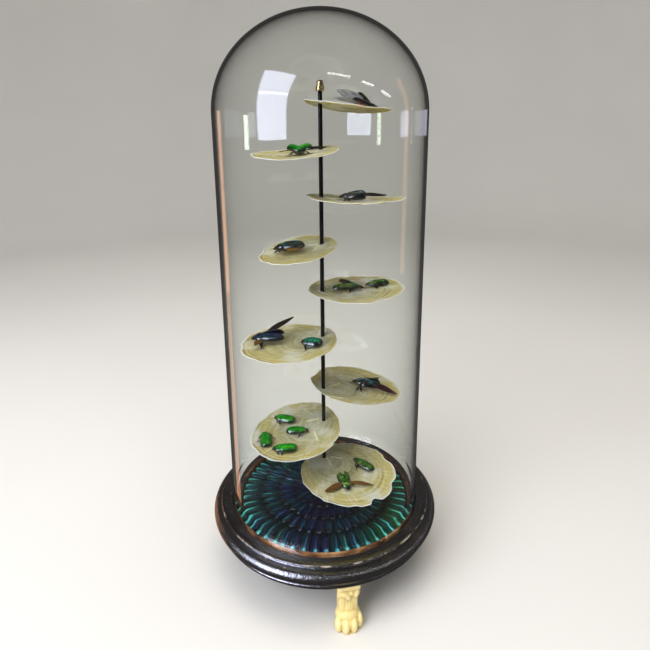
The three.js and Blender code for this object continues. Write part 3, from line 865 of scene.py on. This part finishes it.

# %% [markdown]
# ## Beetle finishes
# Flower beetles have the same kind of layered chitin as the wing cases: emerald, leaf green, teal
# or a midnight blue that is nearly black. Faces that turn up are painted in the bright crown colour
# and faces that turn down dark: a painted highlight on top and painted shade beneath. Three more
# finishes are needed: plain dark chitin for legs and heads, the brown or clear skin of the unfolded
# hindwings, and the softer belly.

# %% Chitin finishes
def layered_chitin(name, lit_crown, second, flank, edge):
    """A metallic chitin: two colours on top in patches, one on the flanks, a dark one beneath, set by
    which way each face turns: painted highlight on top, painted shade beneath.
    """
    finish, tree, shader = new_finish(name, {
        "Metallic": 0.6, "Coat Weight": 1.0, "Coat Roughness": 0.06, "Coat IOR": 1.8,
    })
    texture = add_node(tree, "TexCoord")
    up = add_node(tree, "SeparateXYZ", {0: texture.outputs["Normal"]}).outputs["Z"]
    own = add_node(tree, "Attribute", attribute_name="own_place").outputs["Vector"]
    grain = add_node(tree, "TexNoise", {"Vector": texture.outputs["Object"], "Scale": 520.0,
                                        "Detail": 3.0, "Roughness": 0.7})
    # Painted light: faces that turn up get the bright crown colour, faces that turn down the dark edge
    # colour.
    lit_from_above = add_node(tree, "MapRange", {"Value": up, 4: 0.55})
    mixed = add_node(tree, "Math", {0: grain.outputs["Fac"], 1: 0.85, 2: lit_from_above.outputs[0]},
                     operation="MULTIPLY_ADD")
    tone = add_node(tree, "ValToRGB", {"Fac": mixed.outputs[0]}, stops=[
        (0.55, edge), (0.84, flank), (0.99, lit_crown),
    ])
    cloud = add_node(tree, "TexNoise", {"Vector": texture.outputs["Object"], "Scale": 190.0,
                                        "Detail": 2.0})
    patch = add_node(tree, "MapRange", {"Value": cloud.outputs["Fac"], 1: 0.5, 2: 0.62, 4: 0.7})
    top = add_node(tree, "MapRange", {"Value": up, 1: 0.55, 2: 0.9})
    where = add_node(tree, "Math", {0: patch.outputs[0], 1: top.outputs[0]}, operation="MULTIPLY")
    tone = add_node(tree, "Mix", {0: where.outputs[0], 6: tone.outputs[0], 7: colour(second)},
                    data_type="RGBA")
    tree.links.new(tone.outputs[2], shader.inputs["Base Color"])
    lines = add_node(tree, "Mapping", {"Vector": own, "Scale": (8, 46, 8)})
    pits = add_node(tree, "TexNoise", {"Vector": lines.outputs[0], "Scale": 1.0, "Detail": 4.0})
    work_surface(tree, shader, pits.outputs["Fac"], rough=(0.2, 0.4), bump=(0.4, 0.0004))
    return finish


CHITINS = {
    "emerald": layered_chitin("emerald_chitin", "#06c71c", "#3fdc12", "#036410", "#010f05"),
    "leaf": layered_chitin("leaf_green_chitin", "#3f8e2a", "#a8c262", "#124418", "#030c05"),
    "teal": layered_chitin("teal_chitin", "#08b886", "#0f8f9e", "#05332f", "#02090b"),
    "navy": layered_chitin("navy_chitin", "#10283f", "#12756c", "#080f1c", "#020305"),
    "violet": layered_chitin("violet_blue_chitin", "#16305e", "#2f2368", "#0b3038", "#040509"),
    "midnight": layered_chitin("midnight_chitin", "#1b3a4a", "#3f9c98", "#08101a", "#020304"),
    "black": layered_chitin("black_leg_chitin", "#1c1917", "#28221f", "#100d0c", "#060505"),
}

# %% Hindwing skin and belly finishes
def wing_skin(name, clear, vein, weight):
    """A thin hindwing: see-through skin with darker, raised veins that fan from the root."""
    finish, tree, shader = new_finish(name, {
        "Transmission Weight": weight, "IOR": 1.2, "Coat Weight": 0.3, "Coat Roughness": 0.2,
    })
    own = add_node(tree, "Attribute", attribute_name="own_place").outputs["Vector"]
    fan = add_node(tree, "Mapping", {"Vector": own, "Scale": (1.5, 9, 1)})
    veins = add_node(tree, "TexNoise", {"Vector": fan.outputs[0], "Scale": 2.2, "Detail": 3.0})
    tone = add_node(tree, "ValToRGB", {"Fac": veins.outputs["Fac"]}, stops=[
        (0.38, vein), (0.5, clear), (0.7, clear),
    ])
    tree.links.new(tone.outputs[0], shader.inputs["Base Color"])
    work_surface(tree, shader, veins.outputs["Fac"], rough=(0.45, 0.3), bump=(0.5, 0.0005))
    return finish


def belly_skin(name, pale, dark):
    """The softer underside: rings of plates with dark joints, and dark at both ends."""
    finish, tree, shader = new_finish(name, {"Coat Weight": 0.3, "Coat Roughness": 0.25})
    own = add_node(tree, "Attribute", attribute_name="own_place").outputs["Vector"]
    plates = add_node(tree, "TexWave", {"Vector": own, "Scale": 1.9, "Distortion": 0.4},
                      bands_direction="X")
    tone = add_node(tree, "ValToRGB", {"Fac": plates.outputs["Fac"]}, stops=[
        (0.2, dark), (0.45, pale), (0.9, pale),
    ])
    along = add_node(tree, "SeparateXYZ", {0: own}).outputs["X"]
    centred = add_node(tree, "Math", {0: along, 1: 0.2}, operation="ADD")
    off = add_node(tree, "Math", {0: centred.outputs[0]}, operation="ABSOLUTE")
    end = add_node(tree, "MapRange", {"Value": off.outputs[0], 1: 0.38, 2: 0.52})
    tone = add_node(tree, "Mix", {0: end.outputs[0], 6: tone.outputs[0], 7: colour(dark)},
                    data_type="RGBA")
    tree.links.new(tone.outputs[2], shader.inputs["Base Color"])
    rough = add_node(tree, "MapRange", {"Value": plates.outputs["Fac"], 3: 0.5, 4: 0.32})
    tree.links.new(rough.outputs[0], shader.inputs["Roughness"])
    return finish


WING_SKINS = {
    "brown": wing_skin("brown_hindwing_skin", "#694a25", "#1f1209", 0.1),
    "maroon": wing_skin("maroon_hindwing_skin", "#33161c", "#0f0708", 0.05),
    "clear": wing_skin("clear_hindwing_skin", "#c4c6cb", "#77767a", 0.2),
    "dark": wing_skin("dark_hindwing_skin", "#241d1e", "#0a0809", 0.05),
}
BELLIES = {
    "dark": belly_skin("dark_belly", "#1a1512", "#080605"),
    "amber": belly_skin("amber_belly", "#e0ab33", "#4a2c0c"),
    "rosy": belly_skin("rosy_belly", "#a5604c", "#40221a"),
}

# %% [markdown]
# ## Beetle parts
# All fifteen beetles are built from the same parts: body, thorax shield, head with eyes, wing
# case, scutellum, leg, feeler and hindwing. Each part is modelled once at a size of about one
# unit, and keeps each vertex's own place, so that pits and veins follow the part when it is
# turned. A beetle is then copies of these parts, scaled and turned to its own posture.

# %% Rounded parts
def keep_own_place(piece):
    """Stores each vertex's place in the part's own directions."""
    stored = piece.data.attributes.new("own_place", "FLOAT_VECTOR", "POINT")
    for vertex in piece.data.vertices:
        stored.data[vertex.index].vector = vertex.co
    return piece


def ball(segments=20, rings=12, profile=None):
    """A unit ball with its poles along X, in edit mode. A profile gives each ring's half width."""
    bpy.ops.object.select_all(action="DESELECT")
    bpy.ops.mesh.primitive_uv_sphere_add(segments=segments, ring_count=rings, radius=1)
    edit(bpy.context.object)
    bpy.ops.transform.rotate(value=math.pi / 2, orient_axis="Y", center_override=(0, 0, 0))
    for i in range(1, rings if profile else 0):
        place = math.cos(math.pi * i / rings)
        share = between(profile, place) / math.sin(math.pi * i / rings)
        select(lambda co, place=place: abs(co.x - place) < 0.001)
        bpy.ops.transform.resize(value=(1, share, share), center_override=(place, 0, 0))
    bpy.ops.mesh.select_all(action="SELECT")


def between(points, place):
    """The value at a place along a list of (place, value) points, from rear to front."""
    for (start, low), (end, high) in zip(points, points[1:]):
        if place <= end:
            return low + (high - low) * max(0.0, (place - start) / (end - start))
    return points[-1][1]


ball(profile=[(-1, 0.1), (-0.92, 0.42), (-0.7, 0.72), (-0.4, 0.92), (0, 1), (0.5, 0.96), (0.9, 0.6),
              (1, 0.3)])                                 # body: thorax and ringed abdomen
for ring in (-0.75, -0.5, -0.25, 0.0, 0.25):
    select(lambda co, ring=ring: abs(co.x - ring) < 0.09)
    bpy.ops.transform.resize(value=(1, 0.95, 0.95), center_override=(0, 0, 0))
select(lambda co: co.z < -0.35)
bpy.ops.transform.resize(value=(1, 1, 0.8), center_override=(0, 0, -0.35))
body_part = keep_own_place(leave())

ball(24, 16, profile=[(-1, 0.9), (-0.85, 1.0), (-0.3, 1.0), (0.2, 0.92), (0.6, 0.74), (0.9, 0.56),
                      (1, 0.42)])                        # thorax shield, narrow in front
cut_off((0, 0, -0.35), (0, 0, -1))
shield_part = keep_own_place(leave())

ball(14, 10, profile=[(-1, 0.8), (0, 1), (0.5, 0.8), (0.9, 0.6), (1, 0.45)])   # head, blunt in front
select(lambda co: co.x > 0.3)
bpy.ops.transform.resize(value=(1, 1, 0.6), center_override=(0.3, 0, 0))
head_part = keep_own_place(leave())

ball(10, 6)
eye_part = keep_own_place(leave())

# %% Wing case of a beetle, and the little shield between the two
ball(28, 24, profile=[(-1, 0.1), (-0.97, 0.34), (-0.86, 0.62), (-0.6, 0.86), (-0.2, 0.97), (0.3, 1.0),
                      (0.75, 0.99), (0.93, 0.93), (1, 0.8)])
cut_off((0, 0, 0), (0, 0, -1))
cut_off((0, 0, 0), (0, -1, 0))
bpy.ops.transform.translate(value=(-1, 0, 0))
bpy.ops.transform.resize(value=(0.5, 0.5, 1), center_override=(0, 0, 0))
left_case = keep_own_place(leave())
right_case = copy_of(left_case)
right_case.data.transform(Matrix.Diagonal((1, -1, 1, 1)))
edit(right_case)
bpy.ops.mesh.normals_make_consistent(inside=False)
leave()

bpy.ops.object.select_all(action="DESELECT")
bpy.ops.mesh.primitive_cone_add(vertices=3, radius1=1, radius2=0.5, depth=0.3)
edit(bpy.context.object)
bpy.ops.mesh.bevel(offset=0.08, segments=2, affect="EDGES")
scutellum_part = keep_own_place(leave())

# %% Legs, feelers and hindwings
def limb(points, thickness):
    """A limb along a string of points: the Skin modifier gives each joint its thickness."""
    string_of_points([Vector(point) for point in points])
    piece = leave()
    modifier = piece.modifiers.new("Skin", "SKIN")
    modifier.use_smooth_shade = True
    for joint, radius in zip(piece.data.skin_vertices[0].data, thickness):
        joint.radius = (radius, radius)
    only(piece)
    bpy.ops.object.modifier_apply(modifier=modifier.name)
    return keep_own_place(piece)


leg_part = limb([(0, 0, 0), (0.05, 0.45, 0.12), (0.12, 0.55, 0.08), (0.05, 0.8, -0.45),
                 (-0.1, 0.95, -0.72), (-0.3, 1.15, -0.74)], [0.055, 0.06, 0.045, 0.035, 0.022, 0.016])
feeler_part = limb([(0, 0, 0), (0.3, 0.18, 0.1), (0.55, 0.42, 0.12), (0.75, 0.7, 0.0),
                    (0.88, 0.82, -0.02)], [0.04, 0.03, 0.03, 0.03, 0.07])

bpy.ops.object.select_all(action="DESELECT")
bpy.ops.mesh.primitive_grid_add(x_subdivisions=18, y_subdivisions=9, size=1)
wing_part = bpy.context.object
for vertex in wing_part.data.vertices:
    share = vertex.co.x + 0.5
    breadth = 0.12 + 0.88 * math.sin(math.pi * min(1.0, share ** 0.85)) ** 0.75
    lean = 0.10 * math.sin(math.pi * share)
    fold = 0.05 * math.cos(vertex.co.y * 20) * share + 0.09 * math.sin(share * 5)
    vertex.co = Vector((share, vertex.co.y * breadth + lean, fold))
apply_modifier(wing_part, "SOLIDIFY", thickness=0.025, offset=0)
keep_own_place(wing_part)
print("parts:", sum(1 for piece in bpy.data.objects if "own_place" in getattr(
    piece.data, "attributes", {})))

# %% [markdown]
# ## Fifteen beetles
# Each beetle has its own posture: some lie closed, some died with the wing cases raised and the
# hindwings out, and one leans over, so that its amber belly shows. The list gives, for each, where
# its body lies on its shell in mm from the rod, where it points, its size, its roll in degrees, how
# far each wing case is swung out and lifted, how long its legs are against the usual, and the
# hindwings with their own directions.

# %% How the beetles lie
# `cases`: swing out and lift in degrees, left and right. `wings`: root in the body's length and
# breadth, direction on the shell, length, breadth, rise in degrees, twist in degrees, and skin.
# What a row leaves out is as in USUAL: closed wing cases, a dark belly, and no hindwings.
USUAL = dict(cases=((0, 0), (0, 0)), belly="dark", roll=0, legs=1, wings=[])
BEETLES = [
    dict(name="beetle_1_dark", shell=1, at=(41, 1), heading=-8, size=(26, 10, 7), chitin="black",
         cases=((6, 44), (18, 16)), belly="rosy", roll=0, legs=1.1,
         wings=[((0.0, 0.1), 184, 29, 11, 22, 50, "clear"), ((0.0, -0.1), 172, 30, 8, 9, 30, "clear")]),
    dict(name="beetle_2_green", shell=2, at=(-19, -16), heading=-98, size=(21, 13, 8.5),
         chitin="emerald", cases=((54, 14), (56, 14)),
         wings=[((0.1, 0.3), 2, 21, 3, 3, 60, "dark"), ((0.2, -0.4), 226, 17, 8, 6, 15, "brown")]),
    dict(name="beetle_3_blue", shell=3, at=(30, -8), heading=172, size=(27, 12, 8.5),
         chitin="midnight", cases=((8, 6), (20, 12)), legs=1.8,
         wings=[((-0.2, -0.2), 4, 27, 6, 4, 30, "dark")]),
    dict(name="beetle_4_teal", shell=4, at=(-31, -13), heading=174, size=(31, 16, 11),
         chitin="navy", cases=((3, 0), (4, 2)), belly="amber", roll=20, legs=1.9),
    dict(name="beetle_5_left", shell=5, at=(27, 9), heading=-16, size=(33, 12.5, 8), chitin="leaf",
         cases=((34, 6), (26, 2)),
         wings=[((0.1, 0.3), 30, 9, 4, 4, 10, "clear")]),
    dict(name="beetle_5_right", shell=5, at=(57, 14), heading=196, size=(26, 12, 7.5), chitin="leaf"),
    dict(name="beetle_6_large", shell=6, at=(-56, -8), heading=174, size=(35, 15, 10),
         chitin="violet", cases=((3, 3), (9, 9)), belly="dark", roll=-6, legs=1.2,
         wings=[((0.2, 0.3), 262, 17, 9, 3, 15, "brown"), ((0.1, -0.2), 33, 37, 6, 18, 30, "dark")]),
    dict(name="beetle_6_round", shell=6, at=(-11, -22), heading=158, size=(23, 15, 9.5),
         chitin="teal", legs=0.8),
    dict(name="beetle_7_blue", shell=7, at=(46.5, 18), heading=170, size=(31, 15, 10),
         chitin="midnight", cases=((3, 2), (7, 6)), legs=1.5,
         wings=[((-0.12, 0.2), -33, 33, 9, 2, 14, "maroon"), ((-0.1, -0.2), 38, 15, 5, 9, 20, "dark")]),
    dict(name="beetle_8_back", shell=8, at=(-42.5, 4), heading=158, size=(25, 12, 7.5),
         chitin="emerald", legs=0.75),
    dict(name="beetle_8_middle", shell=8, at=(-27.5, -16.5), heading=-6, size=(23.5, 11, 7),
         chitin="emerald", legs=0.8),
    dict(name="beetle_8_left", shell=8, at=(-59.5, -29), heading=103, size=(24.5, 13, 7.5),
         chitin="emerald", legs=0.75),
    dict(name="beetle_8_front", shell=8, at=(-39, -46), heading=176, size=(25.5, 12, 7.5),
         chitin="emerald", legs=0.75),
    dict(name="beetle_9_back", shell=9, at=(42, -12.5), heading=140, size=(27, 11, 7),
         chitin="leaf"),
    dict(name="beetle_9_front", shell=9, at=(21, -39), heading=-74, size=(25, 11, 7),
         chitin="leaf", cases=((9, 8), (7, 4)), legs=1.2,
         wings=[((0.12, 0.3), -10, 25, 4, 3, 30, "brown"), ((0.1, -0.3), 214, 22, 7, 2, -8, "brown")]),
]


# %% Putting one beetle together
def scaled(x, y, z):
    """The matrix that scales by these three factors."""
    return Matrix.Diagonal((x, y, z, 1))


def turned(degrees, axis):
    """The matrix that turns about an axis."""
    return Matrix.Rotation(math.radians(degrees), 4, axis)


def add_part(pieces, part, matrix, finish):
    """A copy of a part, put in place by a matrix in mm."""
    copy = copy_of(part)
    copy.data.transform(Matrix.Scale(MM, 4) @ matrix)
    if matrix.determinant() < 0:
        copy.data.flip_normals()
    copy.data.materials.clear()
    copy.data.materials.append(finish)
    pieces.append(copy)


def on_shell(row):
    """The place of a beetle, on its shell's face and tilted with it, and that tilt alone."""
    shell = SHELLS[row["shell"] - 1]
    a, b = shell["slope"]
    x, y = row["at"]
    tilt = Matrix((Vector((1, 0, a)).normalized(), Vector((0, 1, b)).normalized(),
                   Vector((-a, -b, 1)).normalized())).transposed().to_4x4()
    return (Matrix.Translation((x, y, shell_height(shell, x, y) + 0.25)) @ tilt), tilt


def beetle(row):
    """All the parts of one beetle, joined."""
    length, width, depth = row["size"]
    move = Matrix.Translation
    spot, tilt = on_shell(row)
    lie = spot @ turned(row["heading"], "Z")
    if row["roll"]:
        lie = lie @ move((0, 0, width * 0.42)) @ turned(row["roll"], "X") @ move((0, 0, -depth * 0.45))
    chitin, leg_chitin = CHITINS[row["chitin"]], CHITINS["black"]
    pieces = []
    add_part(pieces, body_part, lie @ move((-0.06 * length, 0, 0.38 * depth))
             @ scaled(0.41 * length, 0.42 * width, 0.34 * depth), BELLIES[row["belly"]])
    add_part(pieces, shield_part, lie @ move((0.245 * length, 0, 0.46 * depth))
             @ scaled(0.14 * length, 0.45 * width, 0.42 * depth), chitin)
    add_part(pieces, head_part, lie @ move((0.415 * length, 0, 0.42 * depth)) @ turned(14, "Y")
             @ scaled(0.075 * length, 0.22 * width, 0.22 * depth), leg_chitin)
    for side in (-1, 1):
        add_part(pieces, eye_part, lie @ move((0.40 * length, side * 0.2 * width, 0.46 * depth))
                 @ scaled(0.025 * length, 0.045 * width, 0.08 * depth), leg_chitin)
        add_part(pieces, feeler_part, lie @ move((0.46 * length, side * 0.12 * width, 0.4 * depth))
                 @ scaled(0.11 * length, side * 0.26 * width, 0.4 * depth), leg_chitin)
        for root, yaw, reach in ((0.27, 38, 0.5), (0.08, -8, 0.55), (-0.06, -42, 0.72)):
            reach *= row["legs"]
            add_part(pieces, leg_part, lie
                     @ move((root * length, side * 0.24 * width, 0.34 * depth))
                     @ turned(side * yaw + random.uniform(-8, 8), "Z")
                     @ scaled(0.8 * width, side * reach * width, 0.4 * depth), leg_chitin)
    for part, side, (swing, lift) in ((left_case, 1, row["cases"][0]), (right_case, -1, row["cases"][1])):
        add_part(pieces, part, lie @ move((0.135 * length, side * 0.012 * width, 0.32 * depth))
                 @ turned(-side * swing, "Z") @ turned(lift, "Y") @ turned(side * lift * 0.6, "X")
                 @ scaled(0.64 * length, width, 0.64 * depth), chitin)
    add_part(pieces, scutellum_part, lie @ move((0.1 * length, 0, 0.93 * depth)) @ turned(180, "Z")
             @ scaled(0.05 * length, 0.09 * width, 0.12 * depth), chitin)
    for (root_x, root_y), direction, reach, breadth, rise, twist, skin in row["wings"]:
        root = lie @ Vector((root_x * length, root_y * width, 0.55 * depth))
        add_part(pieces, wing_part, move(root) @ tilt @ turned(direction, "Z") @ turned(-rise, "Y")
                 @ turned(twist, "X") @ scaled(reach, breadth, 0.3 * reach), WING_SKINS[skin])
    return joined(pieces)


DARK = ("beetle_1_dark", "beetle_3_blue", "beetle_4_teal", "beetle_6_large", "beetle_7_blue")
for row in BEETLES:
    specimen = beetle({**USUAL, **row})
    smooth(specimen, 40)
    slot = "beetle_dark" if row["name"] in DARK else "beetle_green"
    hand_over(specimen, row["name"] + "_specimen", None, slot, row["name"])
for part in (body_part, shield_part, head_part, eye_part, left_case, right_case, scutellum_part,
             leg_part, feeler_part, wing_part):
    bpy.data.objects.remove(part)

# %% [markdown]
# ## Studio
# The dome stands on a pale paper bowl: a floor that curves up all round, so there is no line
# behind the glass from any side. A tall window-shaped softbox stands at the left, because glass is
# only seen by what it reflects, and narrow strips give it edges. A studio hangs black cloth where
# the glass would mirror the floor. Here the paper itself turns to dark cloth for a ray that has
# been mirrored, so the inside of the dome keeps its deep tones. The windows, panes and lamps only
# show as mirror images: they are out for a ray that came through the glass without being
# mirrored. Two soft lights that are never mirrored do the lighting.

# %% Paper bowl
sweep = turned_piece([(0, 0), (1800, 0), *arc(1800, 1200, 1200, 1200, -90, 0, 16), (3000, 3400)],
                     steps=96)
smooth(sweep, 60)
paper, tree, shader = new_finish("matt_grey_paper", {"Roughness": 0.9, "Specular IOR Level": 0.2})
place = add_node(tree, "TexCoord").outputs["Object"]
cloud = add_node(tree, "TexNoise", {"Vector": place, "Scale": 1.5, "Detail": 2.0})
tone = add_node(tree, "ValToRGB", {"Fac": cloud.outputs["Fac"]}, stops=[
    (0.3, "#cccbc7"), (0.7, "#d1d0cc"),
])
tree.links.new(tone.outputs[0], shader.inputs["Base Color"])
cloth = add_node(tree, "BsdfDiffuse", {"Color": colour("#545250")})
mirrored = add_node(tree, "LightPath").outputs["Glossy Depth"]
seen = add_node(tree, "MixShader", {0: mirrored, 1: shader.outputs[0], 2: cloth.outputs[0]})
tree.links.new(seen.outputs[0], tree.nodes["Material Output"].inputs["Surface"])
sweep.data.materials.append(paper)
sweep.name = "paper_bowl"
sweep.visible_glossy = False
sweep.visible_shadow = False


# %% Softboxes and surroundings
def only_as_mirror_image(lamp):
    """Puts the light out for rays that came through the glass without being mirrored."""
    lamp.use_nodes = True
    tree = lamp.node_tree
    path = add_node(tree, "LightPath")
    outside = add_node(tree, "Math", {0: path.outputs["Transmission Depth"], 1: 0.5},
                       operation="LESS_THAN")
    image = add_node(tree, "Math", {0: path.outputs["Glossy Depth"], 1: 0.5},
                     operation="GREATER_THAN")
    shown = add_node(tree, "Math", {0: outside.outputs[0], 1: image.outputs[0]}, operation="MAXIMUM")
    tree.links.new(shown.outputs[0], tree.nodes["Emission"].inputs["Strength"])


AIM = Vector((0, 0, 0.42))     # the point that the lights face, in the dome's upper half


def softbox(name, azimuth, elevation, distance, width, height, power, tint="#ffffff", roll=0,
            mirrored=True, lights=True):
    """A rectangular light, in metres and watts. Its azimuth runs from the front to the right."""
    lamp = bpy.data.lights.new(name, "AREA")
    lamp.shape = "RECTANGLE"
    lamp.size, lamp.size_y = width, height
    lamp.energy = power
    lamp.color = colour(tint)[:3]
    light = bpy.data.objects.new(name, lamp)
    turn, lift = math.radians(azimuth), math.radians(elevation)
    away = Vector((math.sin(turn) * math.cos(lift), -math.cos(turn) * math.cos(lift), math.sin(lift)))
    light.location = AIM + away * distance
    facing = away.to_track_quat("Z", "Y").to_matrix() @ Matrix.Rotation(math.radians(roll), 3, "Z")
    light.rotation_euler = facing.to_euler()
    light.visible_camera = False
    light.visible_glossy = light.visible_transmission = mirrored
    light.visible_diffuse = lights
    if mirrored:
        only_as_mirror_image(lamp)
    bpy.context.scene.collection.objects.link(light)


softbox("window_low", -49, 11, 2.4, 1.36, 1.012, 33, "#e0e5ff", lights=False)
softbox("window_high", -49, 32, 2.4, 1.36, 0.976, 30, "#e0e5ff", lights=False)
softbox("window_glow", -42, 30, 1.6, 1.2, 1.2, 38, "#f4f6ff", mirrored=False)
softbox("overhead", 10, 78, 1.9, 1.8, 1.8, 46, "#fff8f0", mirrored=False)
softbox("strip_left", -77.5, 1.05, 1.2, 0.10, 0.102, 0.3, "#eafbe6", lights=False)
softbox("pane_right", 92, 1.8, 1.5, 0.30, 0.105, 0.22, "#e4e4ff", lights=False)
softbox("pane_back", 128, 1.8, 1.5, 0.95, 0.105, 0.16, "#e4e4ff", lights=False)
softbox("lamp_near", 22, 42.5, 1.65, 0.56, 0.045, 0.9, roll=-17, lights=False)
softbox("lamp_mid", 52, 30.5, 1.65, 0.34, 0.045, 0.6, roll=-30, lights=False)
softbox("lamp_far", 69.5, 19, 1.65, 0.30, 0.045, 0.5, roll=-38, lights=False)
softbox("warm_edge", -125, -27, 1.13, 0.18, 1.4, 1.1, "#ffb98a", lights=False)

world = bpy.data.worlds.new("dim_room")
world.use_nodes = True
tree = world.node_tree
pale = tree.nodes["Background"]
pale.inputs["Color"].default_value = colour("#c6c7c6")
pale.inputs["Strength"].default_value = 0.42
dim = add_node(tree, "Background", {"Color": colour("#545250"), "Strength": 0.6})
path = add_node(tree, "LightPath")
room = add_node(tree, "MixShader", {0: path.outputs["Glossy Depth"], 1: pale.outputs[0],
                                    2: dim.outputs[0]})
tree.links.new(room.outputs[0], tree.nodes["World Output"].inputs["Surface"])
bpy.context.scene.world = world
bpy.context.scene.view_settings.view_transform = "Standard"

# %% [markdown]
# ## Camera
# A wide lens stands close to the dome, a little above half its height, and looks down. Its
# place and angle make the base wide and the crown narrow, as the eye sees a tall dome on a table.

# %% Camera
TILT = 0.2568          # radians down
YAW = 0.0058           # radians to the right
ROLL = -0.0098
FRAME = 650            # the picture's width and height in pixels
FOCAL_LENGTH = 546.163  # in the same pixels
AXIS_ROW = 264         # the row that the lens looks straight at
SENSOR = 36            # mm
BACK = 0.52829         # metres in front of the rod
ABOVE_SEAT = 0.39764   # metres
forward = Vector((math.sin(YAW) * math.cos(TILT), math.cos(YAW) * math.cos(TILT), -math.sin(TILT)))
level_right = Vector((math.cos(YAW), -math.sin(YAW), 0))
level_up = level_right.cross(forward)
right = math.cos(ROLL) * level_right + math.sin(ROLL) * level_up
up = math.cos(ROLL) * level_up - math.sin(ROLL) * level_right
lens = bpy.data.cameras.new("camera")
lens.sensor_width = SENSOR
lens.lens = FOCAL_LENGTH * SENSOR / FRAME
lens.shift_y = -(FRAME / 2 - AXIS_ROW) / FRAME
lens.clip_start = 0.01
camera = bpy.data.objects.new("camera", lens)
camera.matrix_world = Matrix.Translation((0, -BACK, ABOVE_SEAT + SEAT * MM)) @ Matrix(
    (right, up, -forward)).transposed().to_4x4()
bpy.context.scene.collection.objects.link(camera)
bpy.context.scene.camera = camera
